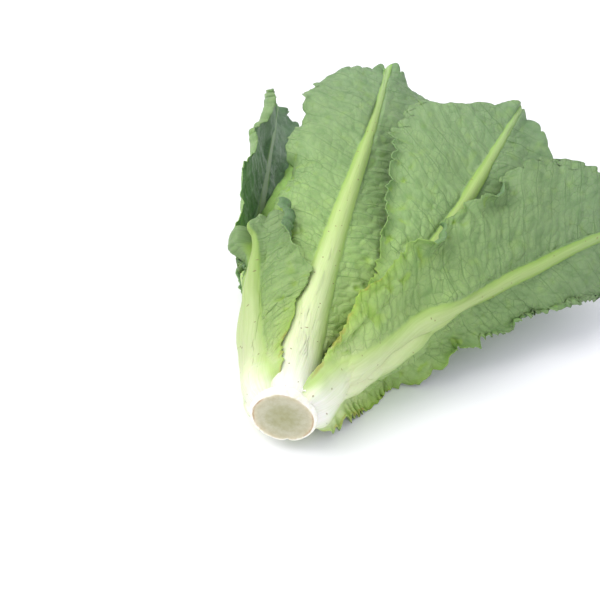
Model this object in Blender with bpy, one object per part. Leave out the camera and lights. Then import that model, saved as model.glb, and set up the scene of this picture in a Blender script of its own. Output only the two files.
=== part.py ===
"""A head of romaine lettuce lying on its side: one cut stem and twenty separate leaves.

The head's axis runs from the cut face towards the leaf tips, nearly along +Y, and +Z is up.
Each leaf is a thin closed sheet with a raised midrib on its outer side. Leaves are laid on one
after another from the heart outwards, and each one is pushed clear of those already there.
Lengths in the tables below are in millimetres and angles in degrees.
"""

import math
from dataclasses import dataclass

import bpy
import numpy as np

# --- Driving dimensions ---

CUT_HEIGHT = 37.0  # centre of the cut face above the surface that flattens the lower leaves
AXIS_DIP = 1.0  # how far the axis dips towards the tips over that surface
REST_PITCH = 6.7  # how far the whole head has then settled towards its cut end
REST_ROLL = 0.6  # and towards its left
BLADE_THICKNESS = 1.1  # leaf blade away from the midrib
RIM_THICKNESS = 0.8  # leaf blade at its edge
LEAF_GAP = 1.1  # clear space kept between neighbouring leaves
STEM_GAP = 0.35  # clear space between a leaf's base and the stem
FOOT_SHARE = 0.22  # height of the midrib at its base as a share of its full height

# The stem's outline: distance from the cut face and radius.
STEM_PROFILE = (
    (0.0, 15.6), (0.35, 16.7), (1.1, 17.4), (2.4, 17.4), (4.0, 16.4), (7.0, 14.9), (12.0, 13.4),
    (20.0, 11.9), (30.0, 10.4), (42.0, 8.8), (54.0, 7.0), (63.0, 5.2), (69.0, 3.2), (72.0, 1.4),
)
STEM_SIDES = 48

# The point that the leaves' outward order is measured from, behind the cut face on the axis.
APEX = 60.0
CELL_ALONG = 2.5  # grid cell of the outward order, along
CELL_ROUND = 2.5  # the same round the axis, in degrees
DIVISIONS = 8  # parts that each face of a leaf is divided in where leaves are compared

ROWS_COLUMNS = {"outer": (17, 12), "middle": (12, 8), "heart": (9, 6)}

# Half width of a blade as a share of its widest, at even steps from a fifth of the way up to the tip.
OUTER_WIDTHS = (0.34, 0.50, 0.67, 0.82, 0.93, 1.0, 1.0, 0.99, 0.90)
MIDDLE_WIDTHS = (0.50, 0.70, 0.86, 0.97, 1.0, 0.98, 0.92, 0.82, 0.66)


@dataclass(frozen=True)
class Leaf:
    """One leaf.

    Args:
        name: The leaf's name.
        kind: Which table of rows and columns it takes.
        start: Distance from the cut face to the leaf's base, which sits on the stem.
        midrib: Points on the outer line of the midrib after its base: distance along the axis,
            distance from the axis, and degrees round it from the right-hand side.
        half_width: The blade's widest half width.
        bend: The radius the blade is bent to across, at even steps after the base.
        roll: How far the blade is turned about its midrib, from halfway up.
        floor: The least height that its lowest surface keeps above the table.
        ruffle: Height of the waves along its edge.
        phase: Where the waves begin, in turns.
        rib: Height and half width of the midrib at the base.
        foot: Half width of the base, measured round the stem.
    """

    name: str
    kind: str
    start: float
    midrib: tuple
    half_width: float
    bend: tuple
    roll: float = 0.0
    floor: float = 0.0
    ruffle: float = 2.5
    phase: float = 0.0
    rib: tuple = (5.0, 15.0)
    foot: float = 12.0


def stem_radius(along):
    """The stem's radius at a distance from the cut face."""
    return np.interp(along, *zip(*STEM_PROFILE))


def inner_leaf(name, kind, turn, start, length, spread, half_width, floor, phase):
    """A leaf of the closed inner head, given by where it leaves the stem and how far it opens."""
    foot = stem_radius(start) + 2.6
    share = (0.08, 0.2, 0.4, 0.7, 1.0)
    opening = (0.16, 0.45, 0.8, 1.0, 0.88)
    midrib = tuple((start + length * s, foot + spread * o, turn + 6.0 * s) for s, o in zip(share, opening))
    rib = (3.6, 9.0) if kind == "middle" else (2.6, 6.0)
    around = foot + spread
    bend = (around * 0.9, around, around * 1.1)
    return Leaf(name, kind, start, midrib, half_width, bend, 0.0, floor, 1.6, phase, rib, foot * 0.75)


LEAVES = (
    inner_leaf("heart_leaf_1", "heart", 30.0, 58.0, 62.0, 3.0, 15.0, 29.0, 0.1),
    inner_leaf("heart_leaf_2", "heart", 167.5, 54.0, 78.0, 5.0, 18.0, 28.0, 0.4),
    inner_leaf("heart_leaf_3", "heart", 305.0, 50.0, 92.0, 6.0, 21.0, 27.0, 0.7),
    inner_leaf("heart_leaf_4", "heart", 82.5, 46.0, 108.0, 8.0, 24.0, 26.0, 0.2),
    inner_leaf("heart_leaf_5", "heart", 220.0, 42.0, 122.0, 10.0, 27.0, 24.0, 0.9),
    inner_leaf("middle_leaf_1", "middle", 357.5, 38.0, 138.0, 15.0, 34.0, 22.0, 0.55),
    inner_leaf("middle_leaf_2", "middle", 135.0, 34.0, 150.0, 17.0, 38.0, 21.0, 0.5),
    inner_leaf("middle_leaf_3", "middle", 272.5, 30.0, 160.0, 17.0, 42.0, 18.0, 0.8),
    inner_leaf("middle_leaf_4", "middle", 50.0, 26.0, 175.0, 24.0, 46.0, 18.0, 0.15),
    inner_leaf("middle_leaf_5", "middle", 187.5, 22.0, 185.0, 24.0, 48.0, 16.0, 0.6),
    inner_leaf("middle_leaf_6", "middle", 325.0, 18.0, 195.0, 34.0, 52.0, 14.0, 0.35),
    inner_leaf("middle_leaf_7", "middle", 102.5, 15.0, 205.0, 28.0, 52.0, 12.0, 0.75),
    Leaf(
        "underside_leaf", "outer", 8.0,
        ((30.0, 25.0, 275.0), (60.0, 30.0, 276.0),
         (120.0, 30.0, 278.0), (190.0, 30.0, 280.0), (255.0, 30.0, 280.0)),
        55.0, (60.0, 160.0, 300.0), floor=12.0, ruffle=1.5, phase=0.35,
    ),
    Leaf(
        "back_left_leaf", "outer", 9.0,
        ((30.0, 25.0, 200.0), (60.0, 35.0, 198.0), (110.0, 44.0, 190.0),
         (170.0, 50.0, 180.0), (230.0, 55.0, 171.0), (290.0, 60.0, 164.0)),
        42.0, (40.0, 80.0, 120.0), roll=-30.0, floor=16.0, phase=0.2,
    ),
    Leaf(
        "top_leaf", "outer", 3.0,
        ((24.0, 23.0, 80.0), (48.0, 34.0, 81.0), (84.0, 45.0, 77.5),
         (128.0, 52.0, 75.5), (186.0, 58.0, 72.0), (230.0, 61.0, 70.5), (278.0, 62.0, 70.0)),
        56.0, (38.0, 62.0, 85.0), phase=0.1,
    ),
    Leaf(
        "lower_left_leaf", "outer", 2.8,
        ((30.0, 28.0, 249.0), (60.0, 34.0, 250.0), (110.0, 38.0, 252.0),
         (170.0, 40.0, 252.0), (235.0, 42.0, 252.0)),
        40.0, (60.0, 110.0, 200.0), floor=5.0, phase=0.8,
    ),
    Leaf(
        "upper_right_leaf", "outer", 9.0,
        ((30.0, 31.0, 38.0), (60.0, 52.0, 34.0), (92.0, 70.0, 31.0),
         (129.0, 85.0, 30.0), (162.0, 99.0, 30.0), (206.0, 117.0, 30.0), (237.0, 129.5, 30.0)),
        47.0, (48.0, 90.0, 140.0), roll=-34.0, phase=0.45,
    ),
    Leaf(
        "lower_right_leaf", "outer", 2.8,
        ((30.0, 33.0, 316.0), (60.0, 52.0, 328.0), (110.0, 82.0, 336.0),
         (160.0, 112.0, 341.0), (210.0, 140.0, 344.0)),
        56.0, (60.0, 120.0, 160.0), floor=3.0, phase=0.55,
    ),
    Leaf(
        "left_leaf", "outer", 2.4,
        ((12.0, 20.4, 171.0), (30.0, 25.5, 172.0), (60.0, 33.0, 171.0),
         (95.0, 38.0, 169.0), (120.0, 41.0, 166.0), (138.0, 44.0, 163.0)),
        52.0, (28.0, 33.0, 40.0), floor=2.0, phase=0.7,
    ),
    Leaf(
        "right_leaf", "outer", 2.4,
        ((10.0, 20.4, 8.0), (21.0, 25.0, 8.0), (42.0, 42.0, 8.0),
         (60.0, 57.0, 8.0), (86.0, 79.0, 8.0), (109.0, 106.0, 8.0), (129.0, 130.0, 8.0),
         (150.0, 154.0, 8.0), (182.0, 196.0, 8.0)),
        66.0, (60.0, 85.0, 120.0), roll=-30.0, floor=0.0, phase=0.9,
    ),
)

# --- Shape of one leaf ---


def smooth_path(points, count):
    """Evenly spaced places on a smooth curve through the given points."""
    points = np.asarray(points, float)
    ends = np.vstack([2 * points[0] - points[1], points, 2 * points[-1] - points[-2]])
    fine = []
    for k in range(len(points) - 1):
        p0, p1, p2, p3 = ends[k:k + 4]
        t = np.linspace(0, 1, 40, endpoint=k == len(points) - 2)[:, None]
        bent = (2 * p0 - 5 * p1 + 4 * p2 - p3) * t**2 + (3 * p1 - p0 - 3 * p2 + p3) * t**3
        fine.append((2 * p1 + (p2 - p0) * t + bent) / 2)
    fine = np.vstack(fine)
    run = np.concatenate([[0], np.cumsum(np.linalg.norm(np.diff(fine, axis=0), axis=1))])
    at = np.linspace(0, run[-1], count)
    return np.stack([np.interp(at, run, fine[:, k]) for k in range(3)], 1), run[-1]


def unit(vectors):
    """The vectors at length one."""
    return vectors / np.linalg.norm(vectors, axis=-1, keepdims=True)


def columns_across(count):
    """Places across a blade from -1 to 1, closer together by the midrib."""
    even = np.linspace(-1, 1, count + 1)
    return 0.55 * even + 0.45 * even**3


def leaf_sheet(leaf):
    """The inner surface of a leaf and its thickness, as grids of rows from base to tip.

    Args:
        leaf: The leaf's description.

    Returns:
        The grid of places in the head's frame, and the grid of thickness vectors.
    """
    rows, columns = ROWS_COLUMNS[leaf.kind]
    seat = stem_radius(leaf.start) + STEM_GAP
    base = (leaf.start, seat + RIM_THICKNESS + FOOT_SHARE * leaf.rib[0], leaf.midrib[0][2])
    ribs = np.array([
        (r * math.cos(math.radians(turn)), along, r * math.sin(math.radians(turn)))
        for along, r, turn in (base,) + leaf.midrib
    ])
    path, length = smooth_path(ribs, 241)
    ahead = unit(np.gradient(path, axis=0))
    outward = unit(path * (1, 0, 1))
    beside = unit(np.cross(np.broadcast_to((0.0, 1.0, 0.0), outward.shape), -outward))
    beside = unit(beside - ahead * np.sum(beside * ahead, 1, keepdims=True))
    normal = unit(np.cross(ahead, beside))
    normal *= np.sign(np.sum(normal * outward, 1, keepdims=True))

    v = (np.arange(rows + 1) / rows)[:, None]
    v = 0.6 * v + 0.4 * v**2
    u = columns_across(columns)[None, :]
    s = v * (1 - 0.13 * u**2 * v**2)
    widths = OUTER_WIDTHS if leaf.kind == "outer" else MIDDLE_WIDTHS
    steps = np.concatenate([(0.0, 0.1), np.linspace(0.2, 1, len(widths))])
    half = np.interp(v, steps, (leaf.foot, leaf.foot * 1.05) + tuple(leaf.half_width * w for w in widths))
    x = u * half

    at = s * 240
    low = np.clip(at.astype(int), 0, 239)
    share = (at - low)[..., None]
    place = path[low] * (1 - share) + path[low + 1] * share
    across = unit(beside[low] * (1 - share) + beside[low + 1] * share)
    level = unit(normal[low] * (1 - share) + normal[low + 1] * share)
    radial = unit(place * (1, 0, 1))
    hug = np.exp(-s * length / 14.0)[..., None]
    level = unit(hug * radial + (1 - hug) * level)

    rib_height = leaf.rib[0] * np.interp(s, (0, 0.12, 0.35, 0.7, 1.0), (FOOT_SHARE, 1.0, 0.8, 0.42, 0.1))
    rib_width = leaf.rib[1] * np.interp(s, (0, 0.12, 0.3, 0.6, 1.0), (1.15, 0.85, 0.5, 0.28, 0.12))
    thin = RIM_THICKNESS + (BLADE_THICKNESS - RIM_THICKNESS) * (1 - u**2)
    rise = np.clip(1 - (x / rib_width)**2, 0, None)**1.2
    thickness = thin + rib_height * rise
    bends = (seat, seat * 1.3) + leaf.bend
    radius = np.interp(s, (0, 0.08, 0.3, 0.6, 1.0), bends)

    roll = np.radians(leaf.roll) * np.clip(2 * s[..., None], 0, 1)
    across, level = across * np.cos(roll) + level * np.sin(roll), level * np.cos(roll) - across * np.sin(roll)
    turn = (x / radius)[..., None]
    outside = level * np.cos(turn) + across * np.sin(turn)
    middle = place - level * (RIM_THICKNESS + rib_height)[..., None]
    sheet = middle + level * (radius[..., None] * (np.cos(turn) - 1)) + across * (radius[..., None] * np.sin(turn))

    side = np.where(u < 0, 0.37, 0.0)
    wave = np.sin(2 * math.pi * (s * length / 46.0 + leaf.phase + side))
    lift = leaf.ruffle * np.abs(u)**2.2 * wave * np.clip((s - 0.15) / 0.25, 0, 1)
    return sheet + outside * lift[..., None], outside * thickness[..., None]


# --- Laying the leaves one on another ---


def polar(places):
    """Distance from the apex, angle off the axis and turn round it, for places in the head's frame."""
    along = places[..., 1] + APEX
    off = np.hypot(places[..., 0], places[..., 2])
    return np.hypot(along, off), np.arctan2(off, along), np.degrees(np.arctan2(places[..., 2], places[..., 0])) % 360


def from_polar(distance, angle, turn):
    """Places in the head's frame from their polar form."""
    off = distance * np.sin(angle)
    turn = np.radians(turn)
    return np.stack([off * np.cos(turn), distance * np.cos(angle) - APEX, off * np.sin(turn)], -1)


def fine_grid(grid, times):
    """A grid with each of its faces divided, flat on the two triangles that the face is made of."""
    rows = np.linspace(0, grid.shape[0] - 1, (grid.shape[0] - 1) * times + 1)
    columns = np.linspace(0, grid.shape[1] - 1, (grid.shape[1] - 1) * times + 1)
    i = np.clip(rows.astype(int), 0, grid.shape[0] - 2)
    j = np.clip(columns.astype(int), 0, grid.shape[1] - 2)
    a = (rows - i)[:, None, None]
    b = (columns - j)[None, :, None]
    near, far = np.maximum(a, b), np.minimum(a, b)
    side = np.where(a > b, grid[i + 1][:, j], grid[i][:, j + 1])
    return grid[i][:, j] * (1 - near) + side * (near - far) + grid[i + 1][:, j + 1] * far


class Outline:
    """How far out the leaves laid so far reach, on a grid of distance and turn."""

    def __init__(self):
        """Starts with the stem alone."""
        self.angle = np.zeros((int(420 / CELL_ALONG), int(360 / CELL_ROUND)))
        along = np.linspace(0, STEM_PROFILE[-1][0], 300)
        self.stem_distance = np.hypot(along + APEX, stem_radius(along))
        self.stem_angle = np.arctan2(stem_radius(along), along + APEX)

    def cells(self, distance, turn):
        """The grid cell of each place, as fractions."""
        return distance / CELL_ALONG - 0.5, turn / CELL_ROUND - 0.5

    def add(self, surface):
        """Takes a surface in, where it reaches further out than what is there."""
        distance, angle, turn = polar(surface)
        i, j = self.cells(distance, turn)
        i = np.clip(np.rint(i).astype(int), 0, self.angle.shape[0] - 1)
        j = np.rint(j).astype(int) % self.angle.shape[1]
        np.maximum.at(self.angle, (i, j), angle)

    def reach(self, distance, turn):
        """The least angle that is clear of the leaves and the stem about each place."""
        i, j = self.cells(distance, turn)
        i = np.clip(np.floor(i).astype(int), 0, self.angle.shape[0] - 2)
        j = np.floor(j).astype(int)
        around = self.angle.shape[1]
        found = [self.angle[i + a, (j + b) % around] for a in (0, 1) for b in (0, 1)]
        stem = np.interp(distance, self.stem_distance, self.stem_angle, right=0.0)
        return np.maximum(np.max(found, axis=0) + LEAF_GAP / distance, stem + STEM_GAP / distance)

    def shortfall(self, surface):
        """How much further out each place of a surface has to go to be clear, in radians."""
        distance, angle, turn = polar(fine_grid(surface, DIVISIONS))
        return np.clip(self.reach(distance, turn) - angle, 0, None)


def spread_push(push, times):
    """Pushes smoothed over a sheet past its base, never less than what each place needs."""
    eased = push.copy()
    for _ in range(times):
        wide = np.pad(eased, 1, mode="edge")
        mean = (wide[:-2, 1:-1] + wide[2:, 1:-1] + wide[1:-1, :-2] + wide[1:-1, 2:]) / 4
        eased = np.maximum(push, 0.5 * eased + 0.5 * mean)
        eased[0] = push[0]
    return eased


def lay_leaf(leaf, outline):
    """A leaf's sheet, laid clear of what is inside it and above the table.

    Args:
        leaf: The leaf's description.
        outline: What has been laid so far, which then takes this leaf in.

    Returns:
        The grids of its inner and outer surfaces.
    """
    sheet, thick = leaf_sheet(leaf)
    sheet = above_table(sheet, thick, leaf.floor)
    for _ in range(14):
        short = np.maximum(outline.shortfall(sheet), outline.shortfall(sheet + thick))
        if short.max() * 100 < 0.05:
            break
        rows, columns = sheet.shape[:2]
        push = np.zeros((rows, columns))
        for a in range(-DIVISIONS, DIVISIONS + 1):
            for b in range(-DIVISIONS, DIVISIONS + 1):
                i = np.clip(np.arange(rows) * DIVISIONS + a, 0, short.shape[0] - 1)
                j = np.clip(np.arange(columns) * DIVISIONS + b, 0, short.shape[1] - 1)
                weight = math.sqrt((1.1 - abs(a) / DIVISIONS) * (1.1 - abs(b) / DIVISIONS) / 1.21)
                push = np.maximum(push, short[i][:, j] * weight)
        distance, angle, turn = polar(sheet)
        sheet = from_polar(distance, angle + spread_push(push, 3), turn)
    outer = sheet + thick
    outline.add(fine_grid(outer, DIVISIONS))
    outline.add(fine_grid(sheet, DIVISIONS))
    return sheet, outer


def above_table(sheet, thick, floor):
    """The sheet bent up where it would pass below its own height above the table."""
    least = floor + 1.0
    height = level(sheet)[..., 2] + CUT_HEIGHT - np.maximum(0, -level(thick)[..., 2])
    below = (least - height) / 4.0
    lift = 4.0 * np.log1p(np.exp(np.clip(below, -30, 30)))
    lift = np.where(below > 30, least - height, lift)
    return sheet + np.array((0.0, 0.0, 1.0)) * (lift - 4.0 * np.log1p(np.exp(-30)))[..., None]


def level(places, dip=AXIS_DIP):
    """Places in the head's frame turned so that the axis dips, with the cut face's centre at its zero."""
    dip = math.radians(dip)
    x, y, z = places[..., 0], places[..., 1], places[..., 2]
    return np.stack([x, y * math.cos(dip) + z * math.sin(dip), z * math.cos(dip) - y * math.sin(dip)], -1)


def world(places):
    """Places in the head's frame turned to how it rests, with the cut face's centre at its zero."""
    roll = math.radians(REST_ROLL)
    turned = level(places, AXIS_DIP - REST_PITCH)
    x, y, z = turned[..., 0], turned[..., 1], turned[..., 2]
    return np.stack([x * math.cos(roll) + z * math.sin(roll), y, z * math.cos(roll) - x * math.sin(roll)], -1)


# --- Meshes ---


def sheet_mesh(inner, outer):
    """The closed mesh between two surfaces: its places and faces."""
    rows, columns = inner.shape[:2]
    count = rows * columns
    places = np.vstack([outer.reshape(-1, 3), inner.reshape(-1, 3)])
    index = np.arange(count).reshape(rows, columns)
    faces = []
    for i in range(rows - 1):
        for j in range(columns - 1):
            a, b, c, d = index[i, j], index[i, j + 1], index[i + 1, j + 1], index[i + 1, j]
            faces += [(a, d, c), (a, c, b)]
            faces += [(a + count, c + count, d + count), (a + count, b + count, c + count)]
    edge = [*index[0, :], *index[1:, -1], *index[-1, -2::-1], *index[-2:0:-1, 0]]
    for a, b in zip(edge, edge[1:] + edge[:1]):
        faces.append((a, b, b + count, a + count))
    return places, [tuple(int(k) for k in face) for face in faces]


def stem_mesh():
    """The closed mesh of the turned stem: its places and faces."""
    places = [(0.0, -0.0, 0.0)]
    for along, radius in STEM_PROFILE:
        for k in range(STEM_SIDES):
            turn = 2 * math.pi * k / STEM_SIDES
            places.append((radius * math.cos(turn), along, radius * math.sin(turn)))
    places.append((0.0, STEM_PROFILE[-1][0] + 0.6, 0.0))
    faces = []
    last = len(places) - 1
    top = 1 + (len(STEM_PROFILE) - 1) * STEM_SIDES
    for k in range(STEM_SIDES):
        after = (k + 1) % STEM_SIDES
        faces.append((0, 1 + k, 1 + after))
        faces.append((last, top + after, top + k))
        for ring in range(len(STEM_PROFILE) - 1):
            a = 1 + ring * STEM_SIDES
            b = a + STEM_SIDES
            faces.append((a + k, b + k, b + after, a + after))
    return np.array(places), faces


# --- Objects ---


def linear(colour):
    """An sRGB colour turned to linear light."""
    return tuple(c / 12.92 if c <= 0.04045 else ((c + 0.055) / 1.055) ** 2.4 for c in colour)


def add_object(name, places, faces, origin, colour, roughness):
    """Adds one named object with its own material.

    Args:
        name: The object's name.
        places: The mesh's vertices, in millimetres.
        faces: The mesh's faces.
        origin: Where the object stands, in millimetres.
        colour: Its sRGB colour.
        roughness: How rough it is.
    """
    mesh = bpy.data.meshes.new(name)
    mesh.from_pydata(((places - origin) * 0.001).tolist(), [], faces)
    mesh.validate()
    finish = bpy.data.materials.new(name)
    finish.use_nodes = True
    shader = finish.node_tree.nodes["Principled BSDF"]
    shader.inputs["Base Color"].default_value = (*linear(colour), 1.0)
    shader.inputs["Roughness"].default_value = roughness
    shader.inputs["Metallic"].default_value = 0.0
    mesh.materials.append(finish)
    piece = bpy.data.objects.new(name, mesh)
    piece.location = origin * 0.001
    bpy.context.scene.collection.objects.link(piece)


LEAF_COLOURS = {"outer": (0.50, 0.64, 0.33), "middle": (0.60, 0.72, 0.40), "heart": (0.80, 0.85, 0.55)}
STEM_COLOUR = (0.89, 0.87, 0.76)


def main():
    """Lays all the leaves, then adds every piece with the head's lowest point on the table."""
    for old in list(bpy.data.objects):
        bpy.data.objects.remove(old, do_unlink=True)
    outline = Outline()
    laid = {leaf.name: lay_leaf(leaf, outline) for leaf in LEAVES}
    stem_places, stem_faces = stem_mesh()
    stem_places = world(stem_places)
    corners = np.vstack([stem_places] + [world(side).reshape(-1, 3) for sides in laid.values() for side in sides])
    low, high = corners.min(0), corners.max(0)
    shift = -np.array(((low[0] + high[0]) / 2, (low[1] + high[1]) / 2, low[2]))
    add_object("stem", stem_places + shift, stem_faces, shift, STEM_COLOUR, 0.6)
    for leaf in LEAVES:
        inner, outer = (world(side) + shift for side in laid[leaf.name])
        places, faces = sheet_mesh(inner, outer)
        origin = inner[0, inner.shape[1] // 2]
        add_object(leaf.name, places, faces, origin, LEAF_COLOURS[leaf.kind], 0.5)


main()
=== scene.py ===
"""Visual model of a head of romaine lettuce lying on its side, on a plain pale table.

The cut stem is turned, and every leaf is a thin sheet with a raised midrib on its outer side.
The leaves are laid one on another from the heart outwards, each clear of those inside it, and
only then get their ruffled edges, toothed margins and blistered blades.
Leaf sizes are in millimetres and degrees, in a frame whose origin is the middle of the cut face,
with its second axis along the head. Finished meshes are in metres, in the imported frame.
"""

from __future__ import annotations

import logging
import math
from dataclasses import dataclass, field
from enum import Enum

import bpy
import mathutils
import numpy as np
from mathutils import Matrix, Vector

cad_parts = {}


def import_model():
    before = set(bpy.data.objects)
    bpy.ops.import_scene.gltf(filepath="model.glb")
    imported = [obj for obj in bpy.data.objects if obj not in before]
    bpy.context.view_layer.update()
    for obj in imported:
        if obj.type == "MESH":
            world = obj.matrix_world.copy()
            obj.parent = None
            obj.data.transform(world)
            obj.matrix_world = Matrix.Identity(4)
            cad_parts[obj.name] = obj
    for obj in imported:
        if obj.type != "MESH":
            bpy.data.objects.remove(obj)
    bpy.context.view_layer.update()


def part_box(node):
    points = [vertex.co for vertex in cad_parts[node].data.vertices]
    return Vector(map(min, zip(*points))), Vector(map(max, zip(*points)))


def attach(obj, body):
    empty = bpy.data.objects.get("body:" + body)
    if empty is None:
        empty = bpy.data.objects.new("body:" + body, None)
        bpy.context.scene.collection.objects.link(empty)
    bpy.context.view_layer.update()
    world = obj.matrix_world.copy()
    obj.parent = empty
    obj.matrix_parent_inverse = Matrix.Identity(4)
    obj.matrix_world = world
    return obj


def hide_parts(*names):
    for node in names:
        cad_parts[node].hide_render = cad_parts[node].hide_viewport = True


LOG = logging.getLogger("lettuce")
MM = 0.001
# Millimetres in a centimetre, the unit of a leaf's map.
CM = 10.0
# Side veins leave the midrib this far apart, and those of one half this share of it later.
VEIN_SPACING = 10.5
VEIN_SHIFT = 0.45
UV_MAP = "blade"
# Added to a leaf's seed for the noise of its relief and of its pits.
RELIEF_SEED = 50
PIT_SEED = 70
Tree = bpy.types.NodeTree
Socket = bpy.types.NodeSocket


class Kind(Enum):
    """How a leaf lies in the head: rows and columns of its rough sheet and of its fine one."""

    HERO = (17, 12, 238, 156)
    OUTER = (17, 12, 136, 96)
    MIDDLE = (12, 8, 84, 56)
    HEART = (9, 6, 54, 36)

    @property
    def rough(self) -> tuple[int, int]:
        """Rows and columns of the rough sheet."""
        return self.value[:2]

    @property
    def fine(self) -> tuple[int, int]:
        """Rows and columns of the fine sheet."""
        return self.value[2:]


# --- Small tools ---


def linear(colour: str) -> tuple[float, float, float, float]:
    """Turns an sRGB hex colour to linear light.

    Args:
        colour: Six hex digits.

    Returns:
        Red, green, blue and an alpha of one.
    """
    parts = [int(colour[k : k + 2], 16) / 255 for k in (0, 2, 4)]
    lit = [c / 12.92 if c <= 0.04045 else ((c + 0.055) / 1.055) ** 2.4 for c in parts]
    return (lit[0], lit[1], lit[2], 1.0)


def add_node(tree: Tree, kind: str, values: dict, out: int | str = 0) -> Socket | None:
    """Adds a node with its settings and links.

    Args:
        tree: The node tree.
        kind: The node's type, after its ShaderNode prefix.
        values: For each of its attributes and inputs, a value or the socket that feeds it.
        out: Which of its outputs is wanted.

    Returns:
        That output, or None where the node has none.
    """
    node = tree.nodes.new("ShaderNode" + kind)
    for key, value in values.items():
        if key == "stops":
            ramp = node.color_ramp
            while len(ramp.elements) < len(value):
                ramp.elements.new(1.0)
            for element, (position, colour) in zip(ramp.elements, value):
                element.position, element.color = position, linear(colour)
        elif isinstance(value, Socket):
            tree.links.new(value, node.inputs[key])
        elif isinstance(key, str) and hasattr(node, key):
            setattr(node, key, value)
        else:
            node.inputs[key].default_value = value
    return node.outputs[out] if node.outputs else None


def unit(vectors: np.ndarray) -> np.ndarray:
    """The vectors at length one."""
    return vectors / np.maximum(np.linalg.norm(vectors, axis=-1, keepdims=True), 1e-12)


def ease(values: np.ndarray, low: float, high: float) -> np.ndarray:
    """A smooth step from nought at low to one at high."""
    t = np.clip((values - low) / (high - low), 0, 1)
    return t * t * (3 - 2 * t)


def curved(near: list[np.ndarray], t: np.ndarray) -> np.ndarray:
    """Values on the smooth curve through four, between the second and the third.

    Args:
        near: The four values.
        t: How far from the second to the third.

    Returns:
        The values there.
    """
    p0, p1, p2, p3 = near
    bent = (2 * p0 - 5 * p1 + 4 * p2 - p3) * t**2 + (3 * p1 - p0 - 3 * p2 + p3) * t**3
    return (2 * p1 + (p2 - p0) * t + bent) / 2


def lifted(height: np.ndarray, least: float, soft: float) -> np.ndarray:
    """How far to raise each height so that none is below the least, on a soft bend.

    Args:
        height: The heights.
        least: The least height.
        soft: How soft the bend is.

    Returns:
        A rise for each.
    """
    steep = 30.0
    below = (least - height) / soft
    bend = soft * np.log1p(np.exp(np.clip(below, -steep, steep)))
    return np.where(below > steep, least - height, bend)


@dataclass(frozen=True)
class Noise:
    """Smooth repeatable noise on a lattice of seeded numbers.

    Args:
        seed: Its number.
        count: How many lattice points it has each way before it repeats.
        shift: How far the lattice is shifted, so that its seams fall outside a leaf.
    """

    seed: int
    count: int = 64
    shift: tuple = (31.7, 17.3)

    def lattice(self, x: np.ndarray, y: np.ndarray | float, size: float) -> tuple[np.ndarray, ...]:
        """Coordinates counted in the lattice's spacings, and the lattice point before each."""
        x, y = np.broadcast_arrays(np.asarray(x) / size + self.shift[0], np.asarray(y) / size + self.shift[1])
        return x, y, np.floor(x).astype(int), np.floor(y).astype(int)

    def at(self, x: np.ndarray, y: np.ndarray | float, size: float) -> np.ndarray:
        """Noise between -1 and 1.

        Args:
            x: First coordinates.
            y: Second coordinates.
            size: The lattice's spacing.

        Returns:
            One value for each place.
        """
        n = self.count
        table = np.random.default_rng(self.seed).uniform(-1, 1, (n, n))
        x, y, i, j = self.lattice(x, y, size)
        a, b = x - i, y - j
        a, b = a * a * a * (a * (6 * a - 15) + 10), b * b * b * (b * (6 * b - 15) + 10)
        low = table[i % n, j % n] * (1 - a) + table[(i + 1) % n, j % n] * a
        high = table[i % n, (j + 1) % n] * (1 - a) + table[(i + 1) % n, (j + 1) % n] * a
        return low * (1 - b) + high * b

    def cells(self, x: np.ndarray, y: np.ndarray, size: float) -> np.ndarray:
        """How far each place lies from the border of its cell, as a share of a cell's size.

        Args:
            x: First coordinates.
            y: Second coordinates.
            size: The cells' size.

        Returns:
            One value for each place.
        """
        n = self.count
        spots = np.random.default_rng(self.seed + 900).uniform(0.1, 0.9, (n, n, 2))
        x, y, i, j = self.lattice(x, y, size)
        first = np.full(x.shape, 9.0)
        second = np.full(x.shape, 9.0)
        for a in (-1, 0, 1):
            for b in (-1, 0, 1):
                spot = spots[(i + a) % n, (j + b) % n]
                away = np.hypot(i + a + spot[..., 0] - x, j + b + spot[..., 1] - y)
                second = np.minimum(second, np.maximum(first, away))
                first = np.minimum(first, away)
        return second - first


# --- The stem ---


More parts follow.
